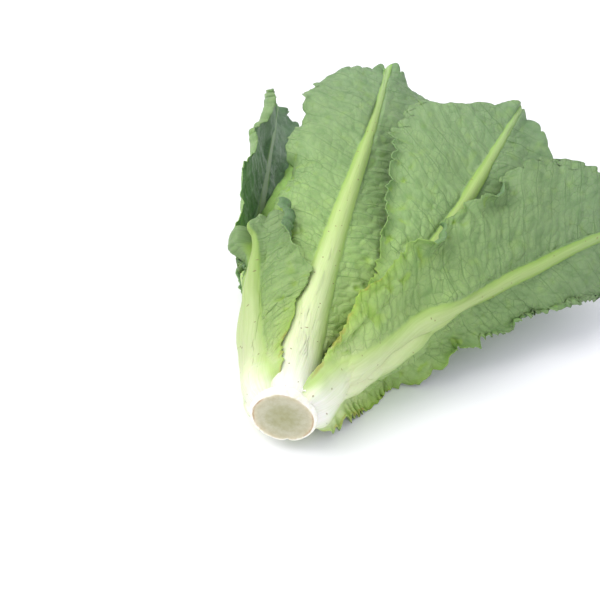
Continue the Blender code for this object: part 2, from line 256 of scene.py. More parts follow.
@dataclass(frozen=True)
class StemForm:
    """The stem's outline and how the head stands.

    Args:
        profile: Distance from the cut face and radius, from the face to the tip.
        dip: How far the head's axis dips towards the leaf tips over the surface that flattens its leaves.
        pitch: How far the whole head has then settled towards its cut end, in degrees.
        roll: How far it has settled towards its left.
        height: Centre of the cut face above the flattening surface.
    """

    profile: tuple = (
        (0.0, 15.6), (0.35, 16.7), (1.1, 17.4), (2.4, 17.4), (4.0, 16.4), (7.0, 14.9), (12.0, 13.4),
        (20.0, 11.9), (30.0, 10.4), (42.0, 8.8), (54.0, 7.0), (63.0, 5.2), (69.0, 3.2), (72.0, 1.4),
    )
    dip: float = 1.0
    pitch: float = 6.7
    roll: float = 0.6
    height: float = 37.0

    def radius(self, along: np.ndarray | float) -> np.ndarray:
        """The radius at a distance from the cut face."""
        return np.interp(along, *zip(*self.profile))

    def level(self, places: np.ndarray, dip: float) -> np.ndarray:
        """Places in the head's frame turned so that its axis dips.

        Args:
            places: The places.
            dip: How far the leaf end goes down, in degrees.

        Returns:
            The turned places.
        """
        dip = math.radians(dip)
        x, y, z = places[..., 0], places[..., 1], places[..., 2]
        return np.stack([x, y * math.cos(dip) + z * math.sin(dip), z * math.cos(dip) - y * math.sin(dip)], -1)

    def rest(self, places: np.ndarray) -> np.ndarray:
        """Places in the head's frame turned to how the head rests.

        Args:
            places: The places.

        Returns:
            The turned places.
        """
        roll = math.radians(self.roll)
        turned = self.level(np.asarray(places, float), self.dip - self.pitch)
        x, y, z = turned[..., 0], turned[..., 1], turned[..., 2]
        cos, sin = math.cos(roll), math.sin(roll)
        return np.stack([x * cos + z * sin, y, z * cos - x * sin], -1)

    def origin(self) -> np.ndarray:
        """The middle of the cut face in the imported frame, in metres.

        Returns:
            The place at which this stem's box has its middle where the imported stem's has.
        """
        turn = np.linspace(0, 2 * math.pi, 49)
        rings = [np.stack([r * np.cos(turn), np.full(49, y), r * np.sin(turn)], -1) for y, r in self.profile]
        point = np.array([[0.0, self.profile[-1][0] + 0.6, 0.0]])
        own = self.rest(np.concatenate(rings + [point]))
        low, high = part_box("stem")
        return (np.array(low) + np.array(high)) / 2 - (own.min(0) + own.max(0)) / 2 * MM

    def placed(self, places: np.ndarray) -> np.ndarray:
        """Places in the head's frame, in millimetres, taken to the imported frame, in metres."""
        return self.rest(places) * MM + self.origin()


# --- Leaves ---


@dataclass(frozen=True)
class Curl:
    """A stretch of a leaf's edge that rolls over.

    Args:
        side: 1 for the edge at rising turn, -1 for the other.
        middle: Where along the leaf it is, from 0 at the base to 1 at the tip.
        reach: Half its length, in the same measure.
        start: Distance in from the edge where the roll begins.
        radius: The roll's radius. Negative rolls inwards.
    """

    side: int
    middle: float
    reach: float
    start: float
    radius: float


@dataclass(frozen=True)
class Leaf:
    """One leaf.

    Args:
        name: The leaf's name.
        kind: How it lies and how finely it is made.
        start: Distance from the cut face to its base, which sits on the stem.
        midrib: Points on the outer line of the midrib after its base: distance along the axis,
            distance from the axis, and degrees round it from the right-hand side.
        half_width: The blade's widest half width.
        bend: The radius the blade is bent to across, at even steps after the base.
        roll: How far the blade is turned about its midrib, from halfway up.
        floor: The least height that its lowest surface keeps above the flattening surface.
        ruffle: Height of the long waves along the edge of its rough sheet.
        phase: Where the waves begin, in turns.
        rib: Height and half width of the midrib at the base.
        foot: Half width of the base, measured round the stem.
        frill: Height of the short waves that its finished edge has as well, on the side of falling
            and of rising turn.
        teeth: Length of the edge's teeth, on the side of falling and of rising turn.
        sides: Rows of share of the length, and what the half width on the side of falling and of
            rising turn is multiplied by there in the finished leaf.
        crown: Rows of place across and how much further the tip reaches there than in the rough sheet.
        lean: Rows of share of the length and degrees that the finished leaf is turned on round the
            head there.
        slide: Rows of share of the length and how far the finished leaf has slid there over its own
            bent form, towards rising turn.
        blister: Height of the blade's blisters.
        tone: How light its colour is beside the other leaves'.
        broad: How many times wider the finished midrib is than the rough sheet's.
        curls: Stretches of edge that roll over.
        seed: Number for its noise.
    """

    name: str
    kind: Kind
    start: float
    midrib: tuple
    half_width: float
    bend: tuple
    roll: float = 0.0
    floor: float = 0.0
    ruffle: float = 2.5
    phase: float = 0.0
    rib: tuple = (5.0, 15.0)
    foot: float = 12.0
    frill: tuple = (3.2, 3.2)
    teeth: tuple = (1.8, 1.8)
    sides: tuple = ((0.0, 1.25, 1.25), (0.1, 1.4, 1.4), (0.25, 1.05, 1.05), (0.4, 1.0, 1.0))
    crown: tuple = ((-1.0, 2.0), (0.0, 0.0), (1.0, 2.0))
    lean: tuple = ((0.0, 0.0), (1.0, 0.0))
    slide: tuple = ((0.0, 0.0), (1.0, 0.0))
    blister: float = 0.9
    tone: float = 1.0
    broad: float = 1.0
    curls: tuple = ()
    seed: int = 1


@dataclass
class Sheet:
    """The grids that a leaf's mesh is made from, with what its finish reads.

    Args:
        places: Where its inner side is.
        outside: The way that its outer side faces.
        thickness: How thick it is.
        across: Distance across from the midrib.
        along: Distance along from the base.
        share: The same as a share of the midrib's length.
        rib: 1 on the midrib's crest, 0 at its foot and less outside it.
        edge: Distance in from the nearest edge.
    """

    places: np.ndarray
    outside: np.ndarray
    thickness: np.ndarray
    across: np.ndarray
    along: np.ndarray
    share: np.ndarray
    rib: np.ndarray
    edge: np.ndarray

    def blade(self) -> np.ndarray:
        """1 on the blade and 0 on the midrib."""
        return 1 - ease(self.rib, -0.25, 0.25)

    def vein(self, noise: Noise) -> np.ndarray:
        """Where the side vein through each place leaves the midrib, slanting and wandering as it goes."""
        x = self.across
        return self.along - 0.36 * np.abs(x) - 0.003 * x**2 + 1.6 * noise.at(x, self.along, 12.0)


@dataclass(frozen=True)
class LeafMaker:
    """Shapes one leaf's sheet, before it is laid on its neighbours.

    Args:
        stem: The stem's form.
        blade: Thickness of the blade beside its midrib.
        rim: Its thickness at the edge.
        foot_share: The midrib's height at its base, as a share of its full height.
        gap: Clearance between a leaf's base and the stem.
        outer_widths: Half widths of an outer leaf at even steps from a fifth of the way to the tip, as shares
            of the widest.
        middle_widths: The same for a middle or heart leaf.
        steps: Into how many steps the midrib's line is divided.
        wave: Length of the long waves along an edge.
        tooth: Length of the edge that one tooth takes.
        lobe: Length of the edge that one rounded lobe takes.
        rounding: How far a row's ends fall behind its middle at the tip, as a share of the length.
        hug: Distance along the leaf over which its base turns from facing straight out of the stem.
    """

    stem: StemForm
    blade: float = 1.1
    rim: float = 0.8
    foot_share: float = 0.22
    gap: float = 0.35
    outer_widths: tuple = (0.34, 0.50, 0.67, 0.82, 0.93, 1.0, 1.0, 0.99, 0.90)
    middle_widths: tuple = (0.50, 0.70, 0.86, 0.97, 1.0, 0.98, 0.92, 0.82, 0.66)
    steps: int = 240
    wave: float = 46.0
    tooth: float = 5.0
    lobe: float = 11.0
    rounding: float = 0.13
    hug: float = 14.0

    def seat(self, leaf: Leaf) -> float:
        """How far from the axis the leaf's base sits."""
        return float(self.stem.radius(leaf.start)) + self.gap

    def path(self, leaf: Leaf) -> tuple[np.ndarray, float]:
        """The outer line of the midrib.

        Args:
            leaf: The leaf.

        Returns:
            Evenly spaced places along it, and its length.
        """
        base = (leaf.start, self.seat(leaf) + self.rim + self.foot_share * leaf.rib[0], leaf.midrib[0][2])
        points = np.array([
            (r * math.cos(math.radians(turn)), along, r * math.sin(math.radians(turn)))
            for along, r, turn in (base,) + leaf.midrib
        ])
        ends = np.vstack([2 * points[0] - points[1], points, 2 * points[-1] - points[-2]])
        last = len(points) - 2
        steps = [np.linspace(0, 1, 40, endpoint=k == last)[:, None] for k in range(last + 1)]
        line = np.vstack([curved(ends[k : k + 4], t) for k, t in enumerate(steps)])
        run = np.concatenate([[0], np.cumsum(np.linalg.norm(np.diff(line, axis=0), axis=1))])
        at = np.linspace(0, run[-1], self.steps + 1)
        return np.stack([np.interp(at, run, line[:, k]) for k in range(3)], 1), float(run[-1])

    def sheet(self, leaf: Leaf, fine: bool) -> Sheet:
        """The leaf's sheet in the head's frame.

        Args:
            leaf: The leaf.
            fine: Whether it gets the detail of its finished mesh, or only its rough form.

        Returns:
            The sheet, its places on the inner side of the blade.
        """
        rows, columns = leaf.kind.fine if fine else leaf.kind.rough
        line, length = self.path(leaf)
        ahead = unit(np.gradient(line, axis=0))
        outward = unit(line * (1, 0, 1))
        beside = unit(np.cross(np.broadcast_to((0.0, 1.0, 0.0), outward.shape), -outward))
        beside = unit(beside - ahead * np.sum(beside * ahead, 1, keepdims=True))
        normal = unit(np.cross(ahead, beside))
        normal = normal * np.sign(np.sum(normal * outward, 1, keepdims=True))

        v = (np.arange(rows + 1) / rows)[:, None]
        v = 0.6 * v + 0.4 * v**2
        even = np.linspace(-1, 1, columns + 1)[None, :]
        u, v = np.broadcast_arrays(0.55 * even + 0.45 * even**3, v)
        s = v * (1 - self.rounding * u**2 * v**2)
        widths = self.outer_widths if leaf.kind in (Kind.HERO, Kind.OUTER) else self.middle_widths
        steps = np.concatenate([(0.0, 0.1), np.linspace(0.2, 1, len(widths))])
        half = np.interp(v, steps, (leaf.foot, leaf.foot * 1.05) + tuple(leaf.half_width * w for w in widths))
        x = u * half
        if fine:
            x, s = self.margin(leaf, u, v, x, s, length)

        at = s * self.steps
        low = np.clip(at.astype(int), 0, self.steps - 1)
        share = (at - low)[..., None]
        place = line[low] * (1 - share) + line[low + 1] * share
        across = unit(beside[low] * (1 - share) + beside[low + 1] * share)
        level = unit(normal[low] * (1 - share) + normal[low + 1] * share)
        hug = np.exp(-s * length / self.hug)[..., None]
        level = unit(hug * unit(place * (1, 0, 1)) + (1 - hug) * level)

        rib_height = leaf.rib[0] * np.interp(s, (0, 0.12, 0.35, 0.7, 1), (self.foot_share, 1, 0.8, 0.42, 0.1))
        rib_width = leaf.rib[1] * np.interp(s, (0, 0.12, 0.3, 0.6, 1), (1.15, 0.85, 0.5, 0.28, 0.12))
        rib_width = rib_width * (leaf.broad if fine else 1.0)
        thickness = self.rim + (self.blade - self.rim) * (1 - u**2)
        thickness = thickness + rib_height * np.clip(1 - (x / rib_width) ** 2, 0, None) ** 1.2

        roll = np.radians(leaf.roll) * np.clip(2 * s[..., None], 0, 1)
        cos, sin = np.cos(roll), np.sin(roll)
        across, level = across * cos + level * sin, level * cos - across * sin
        seat = self.seat(leaf)
        radius = np.interp(s, (0, 0.08, 0.3, 0.6, 1), (seat, seat * 1.3) + leaf.bend)
        turn = ((x + (np.interp(s, *zip(*leaf.slide)) if fine else 0.0)) / radius)[..., None]
        outside = level * np.cos(turn) + across * np.sin(turn)
        middle = place - level * (self.rim + rib_height)[..., None]
        radius = radius[..., None]
        bowed = level * (radius * (np.cos(turn) - 1)) + across * (radius * np.sin(turn))

        side = np.where(u < 0, 0.37, 0.0)
        wave = np.sin(2 * math.pi * (s * length / self.wave + leaf.phase + side))
        lift = leaf.ruffle * np.abs(u) ** 2.2 * wave * np.clip((s - 0.15) / 0.25, 0, 1)
        edge = np.minimum((1 - np.abs(u)) * half, (1 - v) * length)
        rib = np.clip(1.0 - np.abs(x) / rib_width, -1, 1)
        places = middle + bowed + outside * lift[..., None]
        return Sheet(places, outside, thickness, x, s * length, s, rib, edge)

    def margin(
        self, leaf: Leaf, u: np.ndarray, v: np.ndarray, x: np.ndarray, s: np.ndarray, length: float
    ) -> tuple[np.ndarray, np.ndarray]:
        """The blade's outline with its lobes and teeth.

        Args:
            leaf: The leaf.
            u: Place across, from -1 to 1.
            v: Place along, from 0 to 1.
            x: Distance across from the midrib.
            s: Share of the way along the midrib.
            length: The midrib's length.

        Returns:
            Distance across and share of the way, moved near the edge.
        """
        noise = Noise(leaf.seed)
        side = np.where(u < 0, -1.0, 1.0)
        run = v * length
        near = ease(np.abs(u), 0.6, 1.0)
        open_blade = ease(v, 0.02, 0.1)
        lobes = 2.2 * noise.at(run, side * 40.0, 19.0) + 1.5 * noise.at(run, side * 55.0, 8.0)
        lobes += 3.4 * ease(v, 0.45, 0.7) * (self.scallop(noise, run, side * 81.0) - 0.6)
        # A tooth rises over this share of its length and falls off steeply over the rest.
        rise = 0.7
        saw = ((run + 2.2 * noise.at(run, side * 9.0, 8.0)) / self.tooth + 0.37 * side) % 1.0
        tooth = np.where(saw < rise, (saw / rise) ** 1.8, ((1 - saw) / (1 - rise)) ** 1.2)
        size = np.where(u < 0, *leaf.teeth) * np.clip(0.6 + 1.1 * noise.at(run, side * 23.0, 9.0), 0.05, 2)
        size = size * (1 - 0.5 * ease(v, 0.3, 0.6))
        at, *wider = zip(*leaf.sides)
        wider = np.where(u < 0, np.interp(v, at, wider[0]), np.interp(v, at, wider[1]))
        sharp = near * size * (tooth - 0.4) + lobes * np.minimum(wider, 1) ** 2
        x = x * wider + side * near * open_blade * sharp
        arc = u * leaf.half_width
        lip = 2.6 * noise.at(arc, 13.0, 15.0) - 2.0
        lip += self.scallop(noise, arc, 3.0) * (3.4 + 1.6 * noise.at(arc, 71.0, 12.0))
        lip += np.interp(u, *zip(*leaf.crown))
        return x, np.clip(s + ease(v, 0.80, 1.0) * lip / length, 0, 1.2)

    def scallop(self, noise: Noise, run: np.ndarray, line: np.ndarray | float) -> np.ndarray:
        """The rounded lobes along an edge, from 0 in the notches to 1."""
        return np.abs(np.sin(math.pi * (run + 4.0 * noise.at(run, line, 10.0)) / self.lobe)) ** 0.6


# --- Laying the leaves one on another ---


@dataclass
class Pile:
    """How far out the leaves laid so far reach, seen from a point behind the cut face.

    Args:
        stem: The stem's form.
        gap: Clearance kept between leaves.
        stem_gap: Clearance kept from the stem.
        apex: How far behind the cut face the point is.
        cell: Steps of distance in millimetres and of turn in degrees.
        angle: The greatest angle off the axis found at each step of distance and turn.
    """

    stem: StemForm
    gap: float = 1.1
    stem_gap: float = 0.35
    apex: float = 60.0
    cell: float = 2.5
    angle: np.ndarray = field(default_factory=lambda: np.zeros((168, 144)))

    def polar(self, places: np.ndarray) -> tuple[np.ndarray, np.ndarray, np.ndarray]:
        """Places in polar form.

        Args:
            places: The places.

        Returns:
            Distance from the apex, angle off the axis in radians, and turn round it in degrees.
        """
        along = places[..., 1] + self.apex
        off = np.hypot(places[..., 0], places[..., 2])
        turn = np.degrees(np.arctan2(places[..., 2], places[..., 0])) % 360
        return np.hypot(along, off), np.arctan2(off, along), turn

    def pushed(self, places: np.ndarray, out: np.ndarray, onward: np.ndarray | float = 0.0) -> np.ndarray:
        """The places moved out from the axis and on round it.

        Args:
            places: The places.
            out: How far out, in radians as the apex sees it.
            onward: How far on, in degrees.

        Returns:
            The moved places.
        """
        distance, angle, turn = self.polar(places)
        angle, turn = angle + out, np.radians(turn + onward)
        off = distance * np.sin(angle)
        return np.stack([off * np.cos(turn), distance * np.cos(angle) - self.apex, off * np.sin(turn)], -1)

    def add(self, surface: np.ndarray) -> None:
        """Takes a surface in, where it reaches further out than what is there.

        Args:
            surface: Its places.
        """
        distance, angle, turn = self.polar(surface)
        i = np.clip(np.rint(distance / self.cell - 0.5).astype(int), 0, self.angle.shape[0] - 1)
        j = np.rint(turn / self.cell - 0.5).astype(int) % self.angle.shape[1]
        np.maximum.at(self.angle, (i, j), angle)

    def shortfall(self, surface: np.ndarray) -> np.ndarray:
        """How much further out each place has to go to be clear, in radians."""
        return np.clip(-self.slack(surface), 0, None)

    def slack(self, surface: np.ndarray) -> np.ndarray:
        """How much further in each place could go and still be clear.

        Args:
            surface: The places.

        Returns:
            An angle in radians for each, below nought where it has to go out.
        """
        distance, angle, turn = self.polar(surface)
        i = np.clip(np.floor(distance / self.cell - 0.5).astype(int), 0, self.angle.shape[0] - 2)
        j = np.floor(turn / self.cell - 0.5).astype(int)
        around = self.angle.shape[1]
        found = np.max([self.angle[i + a, (j + b) % around] for a in (0, 1) for b in (0, 1)], axis=0)
        along = np.linspace(0, self.stem.profile[-1][0], 300)
        radius = self.stem.radius(along)
        along = along + self.apex
        stem = np.interp(distance, np.hypot(along, radius), np.arctan2(radius, along), right=0.0)
        need = np.maximum(found + self.gap / distance, stem + self.stem_gap / distance)
        return angle - need


@dataclass
class RoughHead:
    """Lays the rough leaves from the heart outwards, as stiff sheets of large faces.

    Args:
        stem: The stem's form.
        maker: Makes the leaves' sheets.
        pile: What is laid so far.
        divisions: Into how many parts each face's side is divided to test it.
        rounds: How many times a leaf is moved at most.
        slip: How far short of clear it may stay, at 100 mm from the apex.
    """

    stem: StemForm
    maker: LeafMaker
    pile: Pile
    divisions: int = 8
    rounds: int = 14
    slip: float = 0.05

    def divided(self, grid: np.ndarray) -> np.ndarray:
        """The grid with each face divided, flat on the two triangles that the face is made of.

        Args:
            grid: The rough grid.

        Returns:
            The divided grid.
        """
        rows, columns = (np.linspace(0, n - 1, (n - 1) * self.divisions + 1) for n in grid.shape[:2])
        i = np.clip(rows.astype(int), 0, grid.shape[0] - 2)
        j = np.clip(columns.astype(int), 0, grid.shape[1] - 2)
        a, b = (rows - i)[:, None, None], (columns - j)[None, :, None]
        near, far = np.maximum(a, b), np.minimum(a, b)
        side = np.where(a > b, grid[i + 1][:, j], grid[i][:, j + 1])
        return grid[i][:, j] * (1 - near) + side * (near - far) + grid[i + 1][:, j + 1] * far

    def flattened(self, places: np.ndarray, thick: np.ndarray, floor: float) -> np.ndarray:
        """The sheet bent up where it would pass below its own height above the flattening surface.

        Args:
            places: The sheet's inner side.
            thick: From its inner to its outer side.
            floor: Its least height.

        Returns:
            The moved places.
        """
        level, dip = self.stem.level, self.stem.dip
        below_skin = np.maximum(0, -level(thick, dip)[..., 2])
        height = level(places, dip)[..., 2] + self.stem.height - below_skin
        return places + np.array((0.0, 0.0, 1.0)) * lifted(height, floor + 1.0, 4.0)[..., None]

    def eased(self, push: np.ndarray) -> np.ndarray:
        """Pushes smoothed over the sheet past its base, never less than what each place needs.

        Args:
            push: What each place needs.

        Returns:
            The smoothed pushes.
        """
        smooth = push.copy()
        for _ in range(3):
            wide = np.pad(smooth, 1, mode="edge")
            mean = (wide[:-2, 1:-1] + wide[2:, 1:-1] + wide[1:-1, :-2] + wide[1:-1, 2:]) / 4
            smooth = np.maximum(push, 0.5 * smooth + 0.5 * mean)
            smooth[0] = push[0]
        return smooth

    def lay(self, leaf: Leaf) -> np.ndarray:
        """Lays one leaf clear of those inside it.

        Args:
            leaf: The leaf.

        Returns:
            How far each place of its rough grid was moved.
        """
        sheet = self.maker.sheet(leaf, fine=False)
        thick = sheet.outside * sheet.thickness[..., None]
        places = self.flattened(sheet.places, thick, leaf.floor)
        n = self.divisions
        for _ in range(self.rounds):
            short = [self.pile.shortfall(self.divided(side)) for side in (places, places + thick)]
            short = np.maximum(short[0], short[1])
            if short.max() * 100 < self.slip:
                break
            rows, columns = places.shape[:2]
            push = np.zeros((rows, columns))
            for a in range(-n, n + 1):
                for b in range(-n, n + 1):
                    i = np.clip(np.arange(rows) * n + a, 0, short.shape[0] - 1)
                    j = np.clip(np.arange(columns) * n + b, 0, short.shape[1] - 1)
                    weight = math.sqrt((1.1 - abs(a) / n) * (1.1 - abs(b) / n) / 1.21)
                    push = np.maximum(push, short[i][:, j] * weight)
            places = self.pile.pushed(places, self.eased(push))
        self.pile.add(self.divided(places + thick))
        self.pile.add(self.divided(places))
        return places - sheet.places


@dataclass
class Settler:
    """Gives a laid leaf its fine detail, and keeps it clear of the finished leaves inside it.

    Args:
        stem: The stem's form.
        maker: Makes the leaves' sheets.
        pile: What is finished so far.
        tissue: The finished blade's thickness, as a share of the rough sheet's.
        sunk: How far past the stem's skin the inner side of a base goes.
        enough: How far short of clear a leaf may stay, in radians.
        near: Distances from its neighbour between which an edge stops being pressed down.
        brim: How far in from the edge the pressing reaches.
        pressing: Share of the free distance that it closes.
        clasp: Distances along the leaf between which its sides stop growing into the stem.
    """

    stem: StemForm
    maker: LeafMaker
    pile: Pile
    tissue: float = 0.62
    sunk: float = 0.25
    enough: float = 2e-4
    near: tuple = (7.0, 14.0)
    brim: float = 16.0
    pressing: float = 0.9
    clasp: tuple = (4.0, 14.0)

    def between(self, grid: np.ndarray, rows: int, columns: int) -> np.ndarray:
        """A rough grid's values at the places of a finer one, on a smooth curve each way.

        Args:
            grid: The rough grid.
            rows: Rows of faces in the finer one.
            columns: Its columns of faces.

        Returns:
            The finer grid.
        """
        for axis, count in ((0, rows), (1, columns)):
            grid = np.moveaxis(grid, axis, 0)
            at = np.linspace(0, grid.shape[0] - 1, count + 1)
            i = np.clip(at.astype(int), 0, grid.shape[0] - 2)
            t = (at - i).reshape((-1,) + (1,) * (grid.ndim - 1))
            wide = np.concatenate([2 * grid[:1] - grid[1:2], grid, 2 * grid[-1:] - grid[-2:-1]])
            grid = np.moveaxis(curved([wide[i + k] for k in range(4)], t), 0, axis)
        return grid

    def normals(self, places: np.ndarray, outside: np.ndarray) -> np.ndarray:
        """The unit normals of a grid of places, on the side that the leaf's outside is on."""
        across = np.cross(np.gradient(places, axis=0), np.gradient(places, axis=1))
        return unit(across) * np.sign(np.sum(across * outside, -1, keepdims=True).mean())

    def spread(self, push: np.ndarray, reach: int) -> np.ndarray:
        """A push widened and then smoothed, so that it is nowhere too small.

        Args:
            push: What each place needs.
            reach: How many rows and columns it is spread over.

        Returns:
            The smoothed pushes.
        """
        bell = np.hanning(2 * reach + 3)[1:-1]
        bell = bell / bell.sum()
        for step in ("widen", "smooth"):
            for axis in (0, 1):
                wide = np.pad(push, [(reach, reach) if a == axis else (0, 0) for a in (0, 1)], mode="edge")
                views = [np.take(wide, range(k, k + push.shape[axis]), axis) for k in range(2 * reach + 1)]
                push = np.max(views, axis=0) if step == "widen" else sum(b * w for b, w in zip(bell, views))
        return push

    def relief(self, leaf: Leaf, sheet: Sheet, length: float) -> np.ndarray:
        """The blade's ruffles, swells, blisters and side veins, as heights off its rough form.

        Args:
            leaf: The leaf.
            sheet: Its fine sheet.
            length: The midrib's length.

        Returns:
            A height outwards for each place.
        """
        noise = Noise(leaf.seed + RELIEF_SEED)
        x, run, s = sheet.across, sheet.along, sheet.share
        blade, vein, falling = sheet.blade(), sheet.vein(noise), x < 0
        side = np.where(falling, 60.0, 0.0)
        # Short waves and a fine crimp along the edges, and waves across the tip.
        frill = np.exp(-sheet.edge / 9.0) * ease(s, 0.1, 0.3) * np.where(falling, *leaf.frill)
        lift = frill * (noise.at(run, side, 10.0) + 0.3 * noise.at(run, side + 20.0, 5.0))
        crimp = np.exp(-sheet.edge / 4.0) * ease(s, 0.02, 0.06) * (1 - ease(s, 0.2, 0.35))
        lift += 1.3 * crimp * noise.at(run, side + 9.0, 4.0)
        lift += max(leaf.frill) * np.exp(-(length - run) / 10.0) * noise.at(x, 5.0, 9.0)
        # Slow swells of the whole blade.
        lift += (1.6 + 1.3 * ease(s, 0.4, 0.8)) * blade * ease(s, 0.1, 0.3) * noise.at(x, run, 24.0)
        lift += 0.9 * blade * ease(s, 0.35, 0.7) * noise.at(x + 31.0, run, 13.0)
        # Furrows over the side veins, and blisters between them.
        furrow = np.cos(2 * math.pi * (vein / VEIN_SPACING + np.where(falling, VEIN_SHIFT, 0.0)))
        depth = 0.32 * np.clip(0.7 + 0.9 * noise.at(x + 77.0, run, 20.0), 0, 1.5)
        lift += depth * blade * ease(s, 0.08, 0.25) * furrow
        full = 0.45
        pillow = np.clip(noise.cells(np.abs(x) * 0.8 + side * 9, vein * 1.3, 8.0), 0, full) / full
        lift += leaf.blister * (1 - 0.3 * ease(s, 0.4, 0.8)) * blade * ease(s, 0.05, 0.2) * (pillow - 0.6)
        return lift - 2.2 * leaf.blister * blade * self.pits(leaf, sheet)

    def pits(self, leaf: Leaf, sheet: Sheet) -> np.ndarray:
        """The small sunken crinkles, thickest in a band along each edge of the lower half.

        Args:
            leaf: The leaf.
            sheet: Its fine sheet.

        Returns:
            How deep each place is in one.
        """
        band = np.exp(-(((sheet.edge - 8.0) / 5.0) ** 2))
        band = band * ease(sheet.share, 0.03, 0.1) * (1 - ease(sheet.share, 0.5, 0.8))
        spots = Noise(leaf.seed + PIT_SEED).at(sheet.across, sheet.along, 4.6)
        return (0.25 + 1.1 * band) * np.clip(spots - 0.42 + 0.2 * band, 0, None)

    def rolled(self, leaf: Leaf, sheet: Sheet, places: np.ndarray, outside: np.ndarray) -> np.ndarray:
        """The places after the leaf's edges roll over.

        Args:
            leaf: The leaf.
            sheet: Its fine sheet.
            places: Where it lies.
            outside: Its normals.

        Returns:
            The moved places.
        """
        for curl in leaf.curls:
            own = sheet.across * curl.side
            half = np.maximum(own, 0).max(1, keepdims=True)
            over = np.clip(own - (half - curl.start), 0, None)
            bend = np.clip(1 - ((sheet.share - curl.middle) / curl.reach) ** 2, 0, None) ** 1.2 / curl.radius
            angle = over * bend
            small = np.abs(bend) < 1e-6
            safe = np.where(small, 1.0, bend)
            ahead = np.where(small, over, np.sin(angle) / safe)
            up = np.where(small, 0.0, (1 - np.cos(angle)) / safe)
            sideways = unit(np.gradient(places, axis=1)) * curl.side
            # Each row rolls from the first place past the start of the curl.
            first = np.argmax((over > 0)[:, :: curl.side], axis=1)
            if curl.side < 0:
                first = over.shape[1] - 1 - first
            rows = np.arange(len(first))
            tangent = self.evened(sideways[rows, first])
            out = self.evened(outside[rows, first])
            start = places[rows, first][:, None, :]
            shift = start + tangent * ahead[..., None] + out * up[..., None]
            taken = (ease(np.abs(bend) * abs(curl.radius), 0.0, 0.25) * (over > 0))[..., None]
            places = places * (1 - taken) + shift * taken
        return places

    def evened(self, directions: np.ndarray) -> np.ndarray:
        """Each row's direction, averaged with the rows near it.

        Args:
            directions: One for each row.

        Returns:
            Unit directions, for use with each row's places.
        """
        reach = 12
        bell = np.hanning(2 * reach + 3)[1:-1]
        wide = np.pad(directions, ((reach, reach), (0, 0)), mode="edge")
        return unit(np.stack([np.convolve(wide[:, k], bell, "valid") for k in range(3)], -1))[:, None, :]

    def pressed(self, places: np.ndarray, sheet: Sheet, reach: int) -> np.ndarray:
        """The places with the leaf's edges brought down onto the leaves inside it.

        Args:
            places: Where it lies.
            sheet: Its fine sheet.
            reach: How many rows and columns a change is spread over.

        Returns:
            The moved places.
        """
        slack = self.pile.slack(places)
        near = 1 - ease(slack * self.pile.polar(places)[0], *self.near)
        edge = np.exp(-((sheet.edge / self.brim) ** 2)) * ease(sheet.share, 0.03, 0.1)
        drop = slack * near * edge
        drop = drop.max() - self.spread(drop.max() - drop, reach)
        return self.pile.pushed(places, -self.pressing * np.clip(drop, 0, None))

    def clasped(self, sheet: Sheet, places: np.ndarray) -> np.ndarray:
        """The places with the sides of the leaf's base grown into the stem and its neighbours.

        Args:
            sheet: The leaf's fine sheet.
            places: Where it lies.

        Returns:
            The moved places.
        """
        across = np.linspace(-1, 1, places.shape[1])[None, :]
        radial = np.hypot(places[..., 0], places[..., 2])
        deep = np.clip(radial - (self.stem.radius(places[..., 1]) - 0.8), 0, None)
        weight = 0.9 * ease(np.abs(across), 0.7, 1.0) * (1 - ease(sheet.along, *self.clasp))
        return places - unit(places * (1, 0, 1)) * (deep * weight)[..., None]

    def finish(self, leaf: Leaf, moved: np.ndarray) -> tuple[Sheet, np.ndarray, np.ndarray]:
        """The leaf's finished inner and outer surfaces.

        Args:
            leaf: The leaf.
            moved: How far its rough grid was moved when it was laid.

        Returns:
            Its sheet and the two grids.
        """
        sheet = self.maker.sheet(leaf, fine=True)
        rows, columns = leaf.kind.fine
        length = self.maker.path(leaf)[1]
        places = sheet.places + self.between(moved, rows, columns)
        places = self.pile.pushed(places, 0.0, np.interp(sheet.share, *zip(*leaf.lean)))
        places = places + self.normals(places, sheet.outside) * self.relief(leaf, sheet, length)[..., None]
        free = ease(sheet.along, 3.0, 16.0)
        for _ in range(3):
            short = self.pile.shortfall(places) * free
            if short.max() < self.enough:
                break
            places = self.pile.pushed(places, self.spread(short, max(3, rows // 40)))
        if leaf.kind is Kind.HERO:
            places = self.pressed(places, sheet, 2)
        outside = self.normals(places, sheet.outside)
        self.pile.add(places + outside * sheet.thickness[..., None])
        places = self.clasped(sheet, self.rolled(leaf, sheet, places, outside))
        # The base is thin, faces straight out from the stem and is sunk into it.
        radial = unit(places * (1, 0, 1))
        hug = np.exp(-sheet.along / 5.0)[..., None]
        outside = unit(self.normals(places, sheet.outside) * (1 - hug) + radial * hug)
        maker = self.maker
        depth = maker.gap + maker.rim + maker.foot_share * leaf.rib[0] + self.sunk
        places = places - radial * (depth * np.exp(-((sheet.along / 5.5) ** 2)))[..., None]
        rib = np.clip(sheet.thickness - maker.blade, 0, None)
        skin = self.tissue * sheet.thickness + (1 - self.tissue) * rib
        skin = skin * (0.25 + 0.75 * ease(sheet.along, 0.0, 7.0))
        return sheet, places, places + outside * skin[..., None]


# --- Finishes ---

MIX = {"data_type": "RGBA"}
DARKEN = {"data_type": "RGBA", "blend_type": "MULTIPLY"}
# A mix node's inputs for its two colours, and its output for the mixed one.
FIRST, SECOND, MIXED = 6, 7, 2
SMOOTH = {"interpolation_type": "SMOOTHSTEP"}


def empty_material(name: str) -> bpy.types.Material:
    """A node material with no nodes yet.

    Args:
        name: Its name.

    Returns:
        The material.
    """
    material = bpy.data.materials.new(name)
    material.use_nodes = True
    material.node_tree.nodes.clear()
    return material


